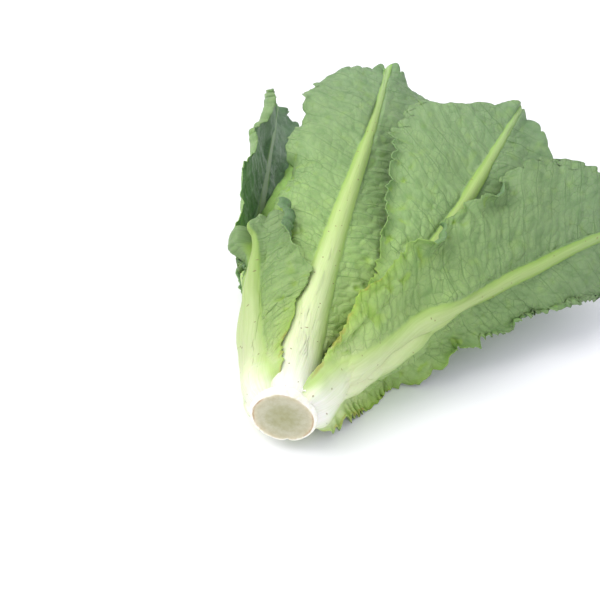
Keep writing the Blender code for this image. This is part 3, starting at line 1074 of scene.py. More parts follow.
@dataclass(frozen=True)
class BladeFinish:
    """One side of a lettuce leaf: thin moist tissue with a waxy skin, over a net of veins.

    The wax gives a broad soft sheen, the thin tissue lets some light through, and the veins
    show as fine lines in it. The leaf's map is in centimetres.

    Args:
        name: The material's name.
        blade: Colours of the blade from base to tip.
        midrib: Colours of the midrib from base to tip.
        young: Colour of the crinkled, yellower edges and pits.
        vein: Colour of the veins.
        vein_weight: How strongly the veins show.
        roughness: How rough the skin is.
        bump: Depth of the veins' relief in metres.
    """

    name: str
    blade: tuple
    midrib: tuple
    young: str
    vein: str
    vein_weight: float
    roughness: float
    bump: float

    def material(self) -> bpy.types.Material:
        """The finish as a node material.

        Returns:
            The material.
        """
        material = empty_material(self.name)
        tree = material.node_tree
        flat = add_node(tree, "UVMap", {"uv_map": UV_MAP})
        rib, share, tone, young = (
            add_node(tree, "Attribute", {"attribute_name": name}, "Fac")
            for name in ("rib", "share", "tone", "young")
        )
        off_rib = add_node(tree, "MapRange", {**SMOOTH, 0: rib, 1: 0.02, 2: 0.22, 3: 1.0, 4: 0.0})
        drift = add_node(tree, "TexNoise", {"Vector": flat, "Scale": 1.4, "Detail": 2.0}, "Color")
        wander = (0.3, 0.3, 0.0)
        moved = add_node(tree, "VectorMath", {"operation": "MULTIPLY_ADD", 0: drift, 1: wander, 2: flat})
        veins = self.veins(tree, flat, moved, share, off_rib)
        mottle = add_node(tree, "TexNoise", {"Vector": flat, "Scale": 1.1, "Detail": 4.0, "Roughness": 0.6})
        # Fine threads run along the midrib, about 0.7 mm apart.
        long = add_node(tree, "VectorMath", {"operation": "MULTIPLY", 0: flat, 1: (14.0, 0.5, 0.0)})
        thread = add_node(tree, "TexNoise", {"Vector": long, "Scale": 1.0, "Detail": 3.0})

        on_rib = add_node(tree, "Math", {"operation": "SUBTRACT", 0: 1.0, 1: off_rib})
        blade = self.blade_colour(tree, share, mottle, veins)
        midrib = self.midrib_colour(tree, rib, share, thread, moved)
        colour = add_node(tree, "Mix", {**MIX, 0: on_rib, FIRST: blade, SECOND: midrib}, MIXED)
        colour = self.edged(tree, colour, young, mottle)
        colour = add_node(tree, "Mix", {**DARKEN, 0: 1.0, FIRST: colour, SECOND: tone}, MIXED)

        height = add_node(tree, "Math", {"operation": "MULTIPLY_ADD", 0: mottle, 1: 0.5, 2: veins})
        height = add_node(tree, "Math", {"operation": "MULTIPLY_ADD", 0: thread, 1: 0.35, 2: height})
        bump = add_node(tree, "Bump", {
            "Height": height, "Strength": 0.55, "Distance": self.bump, "invert": True,
        })
        skin = add_node(tree, "BsdfPrincipled", {
            "Base Color": colour, "Normal": bump,
            "Roughness": self.roughness, "IOR": 1.42, "Specular IOR Level": 0.42,
            "Subsurface Weight": 0.18, "Subsurface Radius": (0.5, 1.0, 0.25), "Subsurface Scale": 0.0022,
        })
        through = add_node(tree, "BsdfTranslucent", {"Color": colour, "Normal": bump})
        both = add_node(tree, "MixShader", {0: 0.14, 1: skin, 2: through})
        add_node(tree, "OutputMaterial", {"Surface": both})
        return material

    def veins(self, tree: Tree, flat: Socket, moved: Socket, share: Socket, off_rib: Socket) -> Socket:
        """Adds the veins: side veins, and two nets with cells about 5 and 2 mm across.

        Args:
            tree: The node tree.
            flat: The leaf's map.
            moved: The map, wandering a little.
            share: Share of the way from base to tip.
            off_rib: 1 off the midrib.

        Returns:
            How much each place is vein.
        """
        row = add_node(tree, "SeparateXYZ", {0: flat}, "Y")
        side = add_node(tree, "Math", {"operation": "PINGPONG", 0: row, 1: VEIN_SPACING / (2 * CM)})
        coarse, fine = (
            add_node(tree, "TexVoronoi", {
                "voronoi_dimensions": "2D", "feature": "DISTANCE_TO_EDGE", "Scale": scale, "Vector": moved,
            })
            for scale in (2.1, 5.5)
        )
        veins = None
        for source, width, top in ((side, 0.055, 1.0), (coarse, 0.055, 0.8), (fine, 0.12, 0.32)):
            line = add_node(tree, "MapRange", {**SMOOTH, 0: source, 1: 0.0, 2: width, 3: top, 4: 0.0})
            veins = add_node(tree, "Math", {"operation": "MAXIMUM", 0: veins, 1: line}) if veins else line
        # They show in patches, and hardly at all near the base.
        patchy = add_node(tree, "TexNoise", {"Vector": flat, "Scale": 0.55, "Detail": 3.0})
        strength = add_node(tree, "MapRange", {0: patchy, 1: 0.35, 2: 0.65, 3: 0.2, 4: 1.0})
        grown = add_node(tree, "MapRange", {0: share, 1: 0.03, 2: 0.16, 3: 0.15, 4: 1.0})
        for factor in (strength, grown, off_rib):
            veins = add_node(tree, "Math", {"operation": "MULTIPLY", 0: veins, 1: factor})
        return veins

    def blade_colour(self, tree: Tree, share: Socket, mottle: Socket, veins: Socket) -> Socket:
        """Adds the blade's colour: mottled green, darker along the veins.

        Args:
            tree: The node tree.
            share: Share of the way from base to tip.
            mottle: Noise that mottles it.
            veins: How much each place is vein.

        Returns:
            The colour.
        """
        blade = add_node(tree, "ValToRGB", {"stops": self.blade, 0: share})
        tints = ((0.3, "C9D6C4"), (0.5, "F0F2EC"), (0.7, "FFFFF4"))
        shade = add_node(tree, "ValToRGB", {"stops": tints, 0: mottle})
        blade = add_node(tree, "Mix", {**DARKEN, 0: 0.8, FIRST: blade, SECOND: shade}, MIXED)
        weight = add_node(tree, "Math", {"operation": "MULTIPLY", 0: veins, 1: self.vein_weight})
        return add_node(tree, "Mix", {**MIX, 0: weight, FIRST: blade, SECOND: linear(self.vein)}, MIXED)

    def midrib_colour(self, tree: Tree, rib: Socket, share: Socket, thread: Socket, moved: Socket) -> Socket:
        """Adds the midrib's colour: pale and threaded, greener at its foot, with a few flecks; the greener
        foot is partly its own colour and partly painted shade on its flanks.

        Args:
            tree: The node tree.
            rib: 1 on the midrib's crest and 0 at its foot.
            share: Share of the way from base to tip.
            thread: Noise that draws its threads.
            moved: The leaf's map, wandering a little.

        Returns:
            The colour.
        """
        midrib = add_node(tree, "ValToRGB", {"stops": self.midrib, 0: share})
        tint = add_node(tree, "ValToRGB", {"stops": ((0.35, "E3EBD2"), (0.6, "FFFFFF")), 0: thread})
        midrib = add_node(tree, "Mix", {**DARKEN, 0: 0.4, FIRST: midrib, SECOND: tint}, MIXED)
        # Painted shade: both flanks of the midrib are darkened towards green. This is partly the midrib's own
        # greener sides and partly stands in for the shade on its flanks.
        foot = add_node(tree, "MapRange", {0: rib, 1: 0.12, 2: 0.65, 3: 0.9, 4: 0.0})
        midrib = add_node(tree, "Mix", {**DARKEN, 0: foot, FIRST: midrib, SECOND: linear("D6EAAE")}, MIXED)
        # Tan flecks half a millimetre across, about 10 mm apart, where the skin was bruised.
        spots = add_node(tree, "TexVoronoi", {"voronoi_dimensions": "2D", "Scale": 0.95, "Vector": moved})
        fleck = add_node(tree, "MapRange", {0: spots, 1: 0.025, 2: 0.05, 3: 0.75, 4: 0.0})
        return add_node(tree, "Mix", {**MIX, 0: fleck, FIRST: midrib, SECOND: linear("8E7B55")}, MIXED)

    def edged(self, tree: Tree, colour: Socket, young: Socket, mottle: Socket) -> Socket:
        """Adds the yellower edges and pits, whose outermost rim has dried tan in broken lengths.

        Args:
            tree: The node tree.
            colour: The leaf's colour so far.
            young: How near each place is to such an edge or pit.
            mottle: Noise that breaks the dried rim.

        Returns:
            The colour.
        """
        fresh = add_node(tree, "Math", {"operation": "MULTIPLY", 0: young, 1: 0.85})
        colour = add_node(tree, "Mix", {**MIX, 0: fresh, FIRST: colour, SECOND: linear(self.young)}, MIXED)
        rim = add_node(tree, "MapRange", {0: young, 1: 0.71, 2: 0.80, 3: 0.0, 4: 0.55})
        broken = add_node(tree, "MapRange", {0: mottle, 1: 0.47, 2: 0.57, 3: 0.0, 4: 1.0})
        dry = add_node(tree, "Math", {"operation": "MULTIPLY", 0: rim, 1: broken})
        return add_node(tree, "Mix", {**MIX, 0: dry, FIRST: colour, SECOND: linear("AE9C4C")}, MIXED)


@dataclass(frozen=True)
class StemFinish:
    """Cut lettuce stem: moist cream flesh, dried tan at the rim of the knife cut.

    The wet cells give it a dull shine and a faint grain, and the dried rim shows as a broken brown ring.

    Args:
        name: The material's name.
        face: Colours of the cut face from its middle to its rim.
        flesh: Colour of the stem behind it.
        dried: Colour of the dried ring.
        ring: Where the ring is, from the middle of the face to its rim.
    """

    name: str = "lettuce_stem_cut"
    face: tuple = (
        (0.0, "AAAA84"), (0.55, "AFAE8C"), (0.80, "BDB99C"),
        (0.915, "D2CBB0"), (0.955, "F2EFE0"), (1.0, "F8F8F0"),
    )
    flesh: str = "F7F7EE"
    dried: str = "B3906A"
    ring: tuple = ((0.90, "000000"), (0.945, "FFFFFF"), (0.955, "FFFFFF"), (0.98, "000000"))

    def material(self) -> bpy.types.Material:
        """The finish as a node material.

        Returns:
            The material.
        """
        material = empty_material(self.name)
        tree = material.node_tree
        radial, along = (
            add_node(tree, "Attribute", {"attribute_name": name}, "Fac") for name in ("radial", "along")
        )
        place = add_node(tree, "TexCoord", {}, "Object")
        # The grain goes from 4 mm down to a tenth of a millimetre, and the blotches are about 9 mm.
        grain = add_node(tree, "TexNoise", {
            "Vector": place, "Scale": 260.0, "Detail": 5.0, "Roughness": 0.65,
        })
        blotch = add_node(tree, "TexNoise", {"Vector": place, "Scale": 110.0, "Detail": 3.0})
        shifted = add_node(tree, "Math", {"operation": "MULTIPLY_ADD", 0: blotch, 1: 0.10, 2: radial})
        face = add_node(tree, "ValToRGB", {"stops": self.face, 0: shifted})
        ring = add_node(tree, "ValToRGB", {"stops": self.ring, 0: shifted})
        broken = add_node(tree, "MapRange", {0: blotch, 1: 0.40, 2: 0.58, 3: 0.0, 4: 0.85})
        dried = add_node(tree, "Mix", {**DARKEN, 0: 1.0, FIRST: ring, SECOND: broken}, MIXED)
        face = add_node(tree, "Mix", {**MIX, 0: dried, FIRST: face, SECOND: linear(self.dried)}, MIXED)
        side = add_node(tree, "MapRange", {0: along, 1: 0.2, 2: 0.9, 3: 0.0, 4: 1.0})
        colour = add_node(tree, "Mix", {**MIX, 0: side, FIRST: face, SECOND: linear(self.flesh)}, MIXED)
        soft = add_node(tree, "ValToRGB", {"stops": ((0.35, "E9E6D6"), (0.6, "FFFFFF")), 0: grain})
        colour = add_node(tree, "Mix", {**DARKEN, 0: 0.8, FIRST: colour, SECOND: soft}, MIXED)
        bump = add_node(tree, "Bump", {"Strength": 0.4, "Distance": 0.0004, "Height": grain})
        flesh = add_node(tree, "BsdfPrincipled", {
            "Base Color": colour, "Normal": bump, "Roughness": 0.48, "IOR": 1.38,
            "Subsurface Weight": 0.3, "Subsurface Radius": (1.0, 0.9, 0.6), "Subsurface Scale": 0.004,
        })
        add_node(tree, "OutputMaterial", {"Surface": flesh})
        return material


OUTER_MIDRIB = (
    (0.0, "FDFDF6"), (0.05, "F7F9E6"), (0.12, "E7EFC2"), (0.25, "D6E7A8"),
    (0.42, "C5DB90"), (0.75, "B2CC7E"), (1.0, "A8C586"),
)
# The back of an outer leaf: white at its base, then yellow-green to mid green, with darker veins.
OUTER_BACK = BladeFinish(
    name="romaine_outer_leaf_back",
    blade=(
        (0.0, "FAFBF0"), (0.05, "F2F6DE"), (0.11, "DCEAB2"), (0.2, "BCD98A"),
        (0.36, "A6C67C"), (0.55, "9ABA7A"), (0.8, "93AF7C"), (1.0, "8FAB80"),
    ),
    midrib=OUTER_MIDRIB, young="A2C83C", vein="4C7438", vein_weight=0.6, roughness=0.46, bump=0.0007,
)
# Its inner face: darker and a little glossier, with veins paler than the blade.
OUTER_FACE = BladeFinish(
    name="romaine_outer_leaf_face",
    blade=((0.0, "D8E8B6"), (0.15, "A4C484"), (0.4, "84A674"), (0.75, "7C9E72"), (1.0, "7C9C78")),
    midrib=((0.0, "E8F0CE"), (0.3, "B4CE96"), (1.0, "8CAE7C")),
    young="86AA5E", vein="A2BC92", vein_weight=0.3, roughness=0.40, bump=0.0007,
)
# A leaf from inside the head: fresher and yellower, because it has had less sun.
MIDDLE_BACK = BladeFinish(
    name="romaine_middle_leaf",
    blade=((0.0, "F5F8E2"), (0.2, "D4EAA2"), (0.5, "B2D67E"), (1.0, "93BE69")),
    midrib=OUTER_MIDRIB, young="B4DA6E", vein="6C9848", vein_weight=0.35, roughness=0.44, bump=0.0006,
)
# A heart leaf: pale yellow, smooth and moist.
HEART_BACK = BladeFinish(
    name="romaine_heart_leaf",
    blade=((0.0, "F8F8E4"), (0.3, "EEF2B8"), (0.7, "DDEB9C"), (1.0, "C9DF86")),
    midrib=((0.0, "FCFCF4"), (0.5, "F4F6D8"), (1.0, "E6EFB4")),
    young="DCEB98", vein="A8C368", vein_weight=0.3, roughness=0.42, bump=0.0005,
)
# Each kind's outer finish, inner finish and slot.
FINISHES = {
    Kind.HERO: (OUTER_BACK, OUTER_FACE, "outer_leaf"),
    Kind.OUTER: (OUTER_BACK, OUTER_FACE, "outer_leaf"),
    Kind.MIDDLE: (MIDDLE_BACK, MIDDLE_BACK, "middle_leaf"),
    Kind.HEART: (HEART_BACK, HEART_BACK, "heart_leaf"),
}


# --- Pieces ---


def keep(name: str, node: str) -> bpy.types.Object:
    """Names the active object and gives it its place in the model.

    Args:
        name: The piece's name.
        node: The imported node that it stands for.

    Returns:
        The object.
    """
    piece = bpy.context.active_object
    piece.name = name
    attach(piece, "root")
    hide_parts(node)
    return piece


def points(mesh: bpy.types.Mesh) -> np.ndarray:
    """The places of a mesh's vertices.

    Args:
        mesh: The mesh.

    Returns:
        One place for each vertex.
    """
    flat = np.empty(len(mesh.vertices) * 3, np.float32)
    mesh.vertices.foreach_get("co", flat)
    return flat.reshape(-1, 3)


def point_values(mesh: bpy.types.Mesh, name: str, values: np.ndarray) -> None:
    """Stores one number for each vertex under a name."""
    layer = mesh.attributes.new(name, "FLOAT", "POINT")
    layer.data.foreach_set("value", np.ascontiguousarray(values, np.float32))


def read(items: bpy.types.bpy_prop_collection, name: str) -> np.ndarray:
    """A whole number from each of a mesh's loops or faces.

    Args:
        items: The loops or faces.
        name: The number's name.

    Returns:
        One number for each.
    """
    values = np.empty(len(items), np.int32)
    items.foreach_get(name, values)
    return values


@dataclass
class LeafPiece:
    """Makes one leaf's closed mesh from its two surfaces.

    Args:
        leaf: The leaf.
        stem: The stem's form.
        sheet: Its fine sheet.
        inner: Where its inner surface is.
        outer: Where its outer surface is.
        pit: How deep each place is in a sunken crinkle.
        materials: Every finish's material.
        clear: The least height of its under side above the table, in millimetres.
    """

    leaf: Leaf
    stem: StemForm
    sheet: Sheet
    inner: np.ndarray
    outer: np.ndarray
    pit: np.ndarray
    materials: dict[str, bpy.types.Material]
    clear: float = 0.7

    def build(self) -> bpy.types.Object:
        """Adds the leaf: a grid that gets its thickness, then its place at each vertex.

        Returns:
            Its object.
        """
        rows, columns = self.leaf.kind.fine
        bpy.ops.object.select_all(action="DESELECT")
        bpy.ops.mesh.primitive_grid_add(
            x_subdivisions=columns, y_subdivisions=rows, size=2.0, location=(0, 0, 0)
        )
        bpy.ops.object.mode_set(mode="EDIT")
        bpy.ops.mesh.select_all(action="SELECT")
        bpy.ops.mesh.solidify(thickness=0.01)
        facing = np.cross(np.gradient(self.outer, axis=1), np.gradient(self.outer, axis=0))
        if np.sum(facing * (self.outer - self.inner)) < 0:
            bpy.ops.mesh.select_all(action="SELECT")
            bpy.ops.mesh.flip_normals()
        bpy.ops.object.mode_set(mode="OBJECT")
        piece = keep(self.leaf.name + "_blade", self.leaf.name)
        mesh = piece.data
        flat = points(mesh)
        column = np.rint((flat[:, 0] + 1) / 2 * columns).astype(int)
        row = np.rint((flat[:, 1] + 1) / 2 * rows).astype(int)
        lower = flat[:, 2] < (flat[:, 2].max() + flat[:, 2].min()) / 2
        inner, outer = self.stem.placed(self.inner) / MM, self.stem.placed(self.outer) / MM
        rise = lifted(np.minimum(inner[..., 2], outer[..., 2]), self.clear, 0.5)
        places = np.where(lower[:, None], inner[row, column], outer[row, column])
        places[:, 2] += rise[row, column]
        mesh.vertices.foreach_set("co", (places * MM).astype(np.float32).ravel())
        self.dress(mesh, row, column, lower)
        return piece

    def dress(self, mesh: bpy.types.Mesh, row: np.ndarray, column: np.ndarray, lower: np.ndarray) -> None:
        """Gives the mesh its map, its values and its two finishes.

        Args:
            mesh: The leaf's mesh.
            row: Each vertex's row.
            column: Each vertex's column.
            lower: Whether it is on the inner side.
        """
        sheet, seed = self.sheet, self.leaf.seed
        # Each leaf has its own part of the map, and none of it is below nought.
        shift = np.where(sheet.across < 0, VEIN_SHIFT * VEIN_SPACING, 0.0)
        vein = sheet.vein(Noise(seed + RELIEF_SEED)) + shift
        flat = np.stack([sheet.across / CM + 20.0 + seed, vein / CM + VEIN_SPACING], -1)
        young = np.exp(-sheet.edge / 4.0) * ease(sheet.along, 5.0, 12.0) * (1 - ease(sheet.share, 0.2, 0.55))
        young = np.clip(np.maximum(young, np.minimum(1.2 * self.pit * sheet.blade(), 0.6)), 0, 0.8)
        # A short leaf has no more green than a long one at the same distance from the base.
        values = {
            "rib": sheet.rib,
            "share": np.minimum(sheet.share, sheet.along / 190),
            "tone": 1 + (self.leaf.tone - 1) * ease(sheet.share, 0.05, 0.3),
            "young": young,
        }
        for name, grid in values.items():
            point_values(mesh, name, grid[row, column])
        loops = read(mesh.loops, "vertex_index")
        layer = mesh.uv_layers.new(name=UV_MAP)
        layer.data.foreach_set("uv", flat[row, column][loops].astype(np.float32).ravel())
        first, count = read(mesh.polygons, "loop_start"), read(mesh.polygons, "loop_total")
        inside = np.add.reduceat(lower[loops].astype(int), first) == count
        for finish in FINISHES[self.leaf.kind][:2]:
            mesh.materials.append(self.materials[finish.name])
        mesh.polygons.foreach_set("material_index", inside.astype(np.int32))
        mesh.polygons.foreach_set("use_smooth", np.ones(len(mesh.polygons), bool))
        mesh.update()


@dataclass
class StemPiece:
    """The stem: a disc left by the knife, and the flesh that the leaf bases grow from.

    Args:
        form: The stem's form.
        flesh: Distance from the cut face and radius, from the tip to the face.
        face: The same for the rings of the cut face, from its rim to its middle.
        sides: Faces round it.
        nick: Turn, half width in degrees and depth of the nick that the knife left in the rim.
        seed: Number for its unevenness.
    """

    form: StemForm
    flesh: tuple = (
        (72, 1.4), (66, 4), (58, 6.2), (48, 7.8), (36, 9.4), (26, 11.2), (18, 13.2), (13, 15),
        (9.5, 16.4), (7, 17.5), (5, 18.4), (3.4, 19), (2, 19), (1, 18.8), (0.4, 18.4),
    )
    face: tuple = (
        (0.1, 18), (0.1, 17.5), (0.14, 16.6), (0.22, 15), (0.3, 12),
        (0.25, 9), (0.2, 6), (0.18, 3), (0.18, 0.8),
    )
    sides: int = 160
    nick: tuple = (-82.0, 5.0, 1.5)
    seed: int = 7

    def build(self) -> bpy.types.Object:
        """Adds the stem: a circle drawn out ring by ring from its tip to the middle of its face.

        Returns:
            Its object.
        """
        bpy.ops.object.select_all(action="DESELECT")
        start, radius = self.flesh[0]
        bpy.ops.mesh.primitive_circle_add(
            vertices=self.sides, radius=radius, fill_type="NGON",
            location=(0, start, 0), rotation=(math.pi / 2, 0, 0),
        )
        bpy.ops.object.transform_apply(location=True, rotation=True, scale=True)
        bpy.ops.object.mode_set(mode="EDIT")
        bpy.ops.mesh.select_all(action="SELECT")
        for along, wider in self.flesh[1:] + self.face:
            bpy.ops.mesh.extrude_region_move(TRANSFORM_OT_translate={"value": (0, along - start, 0)})
            bpy.ops.transform.resize(value=(wider / radius, 1, wider / radius), center_override=(0, along, 0))
            start, radius = along, wider
        bpy.ops.mesh.select_all(action="SELECT")
        bpy.ops.mesh.normals_make_consistent(inside=False)
        bpy.ops.object.mode_set(mode="OBJECT")
        piece = keep("cut_stem", "stem")
        self.dress(piece.data)
        return piece

    def dress(self, mesh: bpy.types.Mesh) -> None:
        """Makes the stem uneven, puts it in its place and gives it its finish.

        Args:
            mesh: The stem's mesh, in the head's frame.
        """
        places = points(mesh).astype(float)
        x, along, z = places.T
        turn, radial = np.degrees(np.arctan2(z, x)), np.hypot(x, z)
        noise = Noise(self.seed)
        wobble = 0.35 * noise.at(turn + 180, 2.0, 22.5) * ease(radial, 10.0, 16.0)
        at, half, depth = self.nick
        nick = depth * np.exp(-(((turn - at) / half) ** 2))
        nick = nick * ease(radial, 15.0, 18.0) * (1 - ease(along, 1.5, 4.0))
        scale = (radial + wobble - nick) / np.maximum(radial, 1e-6)
        lie = 0.18 * noise.at(x, z, 6.0) * (1 - ease(along, 0.0, 1.5))
        point_values(mesh, "radial", radial / 18.9)
        point_values(mesh, "along", along)
        moved = np.stack([x * scale, along + lie, z * scale], -1)
        mesh.vertices.foreach_set("co", self.form.placed(moved).astype(np.float32).ravel())
        mesh.polygons.foreach_set("use_smooth", np.ones(len(mesh.polygons), bool))
        mesh.materials.append(StemFinish().material())
        mesh.update()


# --- Studio ---


@dataclass(frozen=True)
class Studio:
    """A pale table under a wide soft light, and the camera.

    Args:
        stem: The stem's form, which gives how the head lies.
        azimuth: The camera's turn round the head, from straight behind the cut face.
        elevation: Its height in degrees over the head's own level.
        distance: From the cut face to the camera's plane, in millimetres.
        aim: How far right of and above the cut face it aims, in millimetres.
        view: The width of its view in degrees.
    """

    stem: StemForm
    azimuth: float = 10.0
    elevation: float = 42.0
    distance: float = 687.0
    aim: tuple = (9.35, 64.9)
    view: float = 27.0

    def camera(self) -> None:
        """Adds the camera, turned with the head as it settled."""
        a, e = math.radians(self.azimuth), math.radians(self.elevation)
        back = np.array((math.sin(a) * math.cos(e), -math.cos(a) * math.cos(e), math.sin(e)))
        right = np.array((math.cos(a), math.sin(a), 0.0))
        up = np.cross(back, right)
        turn = self.stem.level(np.eye(3), self.stem.dip).T @ self.stem.rest(np.eye(3))
        place = back * self.distance + right * self.aim[0] + up * self.aim[1]
        place = place @ turn * MM + self.stem.origin()
        bpy.ops.object.camera_add()
        camera = bpy.context.active_object
        axes = np.stack([right @ turn, up @ turn, back @ turn], 1)
        matrix = np.eye(4)
        matrix[:3, :3], matrix[:3, 3] = axes, place
        camera.matrix_world = mathutils.Matrix(matrix.tolist())
        camera.data.angle = math.radians(self.view)
        bpy.context.scene.camera = camera

    def lights(self) -> None:
        """Adds the soft lights and the white surroundings."""
        for place, turn, size, power, colour in (
            ((-0.75, -0.15, 1.15), (math.radians(8), math.radians(-33), 0), 1.3, 15.0, "FFFDF8"),
            ((0.7, -0.9, 0.9), (math.radians(42), math.radians(26), 0), 1.4, 4.0, "F4F6FF"),
        ):
            bpy.ops.object.light_add(type="AREA", location=place, rotation=turn)
            lamp = bpy.context.active_object.data
            lamp.size, lamp.energy, lamp.color = size, power, linear(colour)[:3]
        world = bpy.data.worlds.new("soft_white")
        world.use_nodes = True
        world.node_tree.nodes["Background"].inputs["Color"].default_value = linear("F6F7FF")
        world.node_tree.nodes["Background"].inputs["Strength"].default_value = 0.85
        bpy.context.scene.world = world
        bpy.context.scene.view_settings.view_transform = "Standard"

    def table(self) -> None:
        """Adds the table top: matt white laminate, which shows soft shadows and no pattern."""
        bpy.ops.object.select_all(action="DESELECT")
        bpy.ops.mesh.primitive_plane_add(size=8.0, location=(0, 0, 0))
        top = bpy.context.active_object
        top.name = "table_top"
        material = bpy.data.materials.new("white_laminate")
        material.use_nodes = True
        shader = material.node_tree.nodes["Principled BSDF"]
        shader.inputs["Base Color"].default_value = linear("F8F8FA")
        shader.inputs["Roughness"].default_value = 0.7
        top.data.materials.append(material)


# --- The head ---


def inner_leaf(
    name: str, kind: Kind, turn: float, start: float, length: float, spread: float, width: float,
    floor: float, phase: float,
) -> Leaf:
    """A leaf of the closed inner head, given by where it leaves the stem and how far it opens.

    Args:
        name: Its name.
        kind: MIDDLE or HEART.
        turn: Degrees round the stem.
        start: Distance from the cut face to its base.
        length: How far it reaches along the axis.
        spread: How far it opens from the stem.
        width: Its widest half width.
        floor: Its least height above the flattening surface.
        phase: Where its waves begin.

    Returns:
        The leaf.
    """
    foot = float(StemForm().radius(start)) + 2.6
    around = foot + spread
    # Share of the length, and how much of its spread the leaf has opened by there.
    opening = ((0.08, 0.16), (0.2, 0.45), (0.4, 0.8), (0.7, 1.0), (1.0, 0.88))
    return Leaf(
        name, kind, start,
        midrib=tuple((start + length * s, foot + spread * opened, turn + 6.0 * s) for s, opened in opening),
        half_width=width, bend=(around * 0.9, around, around * 1.1), floor=floor, ruffle=1.6, phase=phase,
        rib=(3.6, 9.0) if kind is Kind.MIDDLE else (2.6, 6.0), foot=foot * 0.75,
        frill=(1.2, 1.2), teeth=(1.0, 1.0), seed=int(turn),
    )


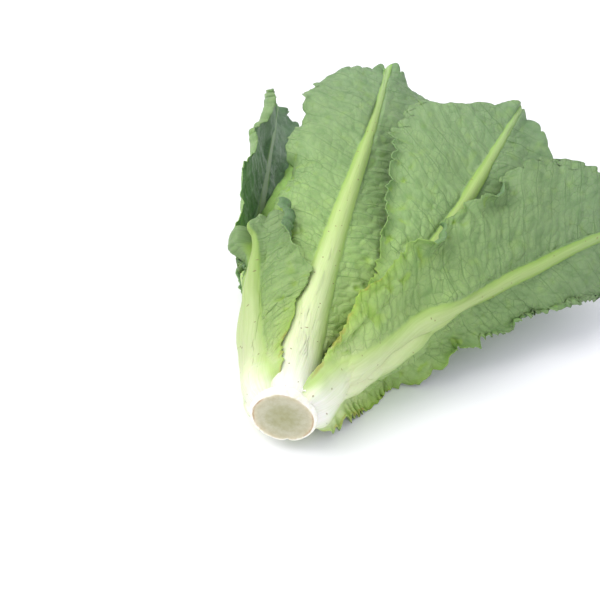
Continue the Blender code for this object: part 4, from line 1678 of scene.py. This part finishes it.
LEAVES = (
    inner_leaf("heart_leaf_1", Kind.HEART, 30, 58, 62, 3, 15, 29, 0.1),
    inner_leaf("heart_leaf_2", Kind.HEART, 167.5, 54, 78, 5, 18, 28, 0.4),
    inner_leaf("heart_leaf_3", Kind.HEART, 305, 50, 92, 6, 21, 27, 0.7),
    inner_leaf("heart_leaf_4", Kind.HEART, 82.5, 46, 108, 8, 24, 26, 0.2),
    inner_leaf("heart_leaf_5", Kind.HEART, 220, 42, 122, 10, 27, 24, 0.9),
    inner_leaf("middle_leaf_1", Kind.MIDDLE, 357.5, 38, 138, 15, 34, 22, 0.55),
    inner_leaf("middle_leaf_2", Kind.MIDDLE, 135, 34, 150, 17, 38, 21, 0.5),
    inner_leaf("middle_leaf_3", Kind.MIDDLE, 272.5, 30, 160, 17, 42, 18, 0.8),
    inner_leaf("middle_leaf_4", Kind.MIDDLE, 50, 26, 175, 24, 46, 18, 0.15),
    inner_leaf("middle_leaf_5", Kind.MIDDLE, 187.5, 22, 185, 24, 48, 16, 0.6),
    inner_leaf("middle_leaf_6", Kind.MIDDLE, 325, 18, 195, 34, 52, 14, 0.35),
    inner_leaf("middle_leaf_7", Kind.MIDDLE, 102.5, 15, 205, 28, 52, 12, 0.75),
    Leaf(
        "underside_leaf", Kind.OUTER, 8, seed=21,
        midrib=((30, 25, 275), (60, 30, 276), (120, 30, 278), (190, 30, 280), (255, 30, 280)),
        half_width=55, bend=(60, 160, 300), floor=12, ruffle=1.5, phase=0.35,
    ),
    Leaf(
        "back_left_leaf", Kind.HERO, 9, seed=22,
        midrib=((30, 25, 200), (60, 35, 198), (110, 44, 190), (170, 50, 180), (230, 55, 171), (290, 60, 164)),
        half_width=42, bend=(40, 80, 120), roll=-30, floor=16, phase=0.2, frill=(2, 2), teeth=(1.2, 1.2),
        sides=((0, 1.2, 1.2), (0.4, 1.1, 1.1), (1, 1.15, 1.2)),
        crown=((-1, -6), (-0.5, -4), (0, -2), (0.15, 5), (0.5, 19), (0.8, 32), (1, 42)),
        curls=(Curl(-1, 0.82, 0.26, 12, -8),),
    ),
    Leaf(
        "top_leaf", Kind.HERO, 3, seed=23,
        midrib=(
            (24, 23, 80), (48, 34, 81), (84, 45, 77.5), (128, 52, 75.5), (186, 58, 72), (230, 61, 70.5),
            (278, 62, 70),
        ),
        half_width=56, bend=(38, 62, 85), phase=0.1, frill=(2, 3), broad=1.2,
        sides=(
            (0, 1.5, 1.6), (0.1, 2, 1.9), (0.2, 1.5, 1.4), (0.35, 1, 0.98), (0.5, 1, 1.06), (0.62, 1, 0.93),
            (0.8, 1, 0.88), (1, 1, 0.88),
        ),
        crown=((-1, 8), (-0.5, 9), (0, 7), (0.5, 8), (1, 14)),
    ),
    Leaf(
        "lower_left_leaf", Kind.OUTER, 2.8, seed=24,
        midrib=((30, 28, 249), (60, 34, 250), (110, 38, 252), (170, 40, 252), (235, 42, 252)),
        half_width=40, bend=(60, 110, 200), floor=5, phase=0.8,
    ),
    Leaf(
        "upper_right_leaf", Kind.HERO, 9, seed=25,
        midrib=(
            (30, 31, 38), (60, 52, 34), (92, 70, 31), (129, 85, 30), (162, 99, 30), (206, 117, 30),
            (237, 129.5, 30),
        ),
        half_width=47, bend=(48, 90, 140), roll=-34, phase=0.45, frill=(3, 1.6), teeth=(1.8, 1.2), broad=1.2,
        sides=(
            (0, 0.9, 0.5), (0.1, 1.4, 0.6), (0.2, 1.1, 0.6), (0.3, 1, 0.6), (0.4, 1, 0.75), (0.6, 1, 1),
            (0.8, 1, 1.3), (1, 1, 1.4),
        ),
        crown=((-1, 8), (0, 0), (0.25, -7), (0.6, -10), (1, -1)),
        lean=((0, 0), (0.06, -9), (0.2, -9), (0.32, -4), (0.45, -2), (0.7, -1.5), (1, 0)),
        curls=(Curl(1, 0.56, 0.24, 9, 5),), tone=0.97,
    ),
    Leaf(
        "lower_right_leaf", Kind.OUTER, 2.8, seed=26,
        midrib=((30, 33, 316), (60, 52, 328), (110, 82, 336), (160, 112, 341), (210, 140, 344)),
        half_width=56, bend=(60, 120, 160), floor=3, phase=0.55,
    ),
    Leaf(
        "left_leaf", Kind.HERO, 2.4, seed=27,
        midrib=(
            (12, 20.4, 171), (30, 25.5, 172), (60, 33, 171), (95, 38, 169), (120, 41, 166), (138, 44, 163),
        ),
        half_width=52, bend=(28, 33, 40), floor=2, phase=0.7, frill=(1.6, 0.8), teeth=(1.2, 0.4), broad=1.5,
        sides=(
            (0, 1.5, 1.3), (0.1, 1.8, 1.2), (0.2, 1.4, 0.8), (0.4, 0.84, 0.32), (0.7, 0.56, 0.22),
            (1, 0.6, 0.3),
        ),
        crown=((-1, -4), (0, -9), (1, -9)),
        slide=((0, 0), (0.2, -1), (0.4, -9), (0.6, -18), (0.8, -24), (1, -27)),
        curls=(Curl(-1, 0.8, 0.24, 15, 4.8),), tone=0.8,
    ),
    Leaf(
        "right_leaf", Kind.HERO, 2.4, seed=28,
        midrib=(
            (10, 20.4, 8), (21, 25, 8), (42, 42, 8), (60, 57, 8), (86, 79, 8), (109, 106, 8), (129, 130, 8),
            (150, 154, 8), (182, 196, 8),
        ),
        half_width=66, bend=(60, 85, 120), roll=-30, phase=0.9, frill=(3.4, 2.2), teeth=(7, 1.4), broad=1.2,
        blister=1.2,
        sides=(
            (0, 1.4, 1.3), (0.04, 1.8, 1.5), (0.1, 2, 1.6), (0.2, 1.7, 1.5), (0.3, 1.3, 1.12),
            (0.4, 0.82, 0.95), (0.5, 0.65, 0.9), (0.7, 0.6, 0.85), (1, 0.7, 0.95),
        ),
        lean=((0, 0), (0.2, 1), (0.32, 5.5), (0.42, 5.5), (0.55, 1.5), (0.7, 0)),
        curls=(
            Curl(1, 0.45, 0.05, 9, 3.8), Curl(1, 0.66, 0.07, 15, 5.5), Curl(-1, 0.42, 0.07, 9, 4),
            Curl(-1, 0.15, 0.15, 13, 13),
        ),
        tone=0.86,
    ),
)


def main() -> None:
    """Builds the head, the table, the lights and the camera."""
    logging.basicConfig(level=logging.INFO, format="%(message)s")
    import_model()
    stem = StemForm()
    maker = LeafMaker(stem)
    rough = RoughHead(stem, maker, Pile(stem))
    moved = {leaf.name: rough.lay(leaf) for leaf in LEAVES}
    LOG.info("laid %d leaves", len(moved))
    finishes = (OUTER_BACK, OUTER_FACE, MIDDLE_BACK, HEART_BACK)
    materials = {finish.name: finish.material() for finish in finishes}
    piece = StemPiece(stem).build()
    LOG.info("%s: %d faces", piece.name, len(piece.data.polygons))
    settler = Settler(stem, maker, Pile(stem, gap=0.35))
    for leaf in LEAVES:
        sheet, inner, outer = settler.finish(leaf, moved[leaf.name])
        piece = LeafPiece(leaf, stem, sheet, inner, outer, settler.pits(leaf, sheet), materials).build()
        LOG.info("%s: %d faces", piece.name, len(piece.data.polygons))
    studio = Studio(stem)
    studio.table()
    studio.lights()
    studio.camera()


if __name__ == "__main__":
    main()
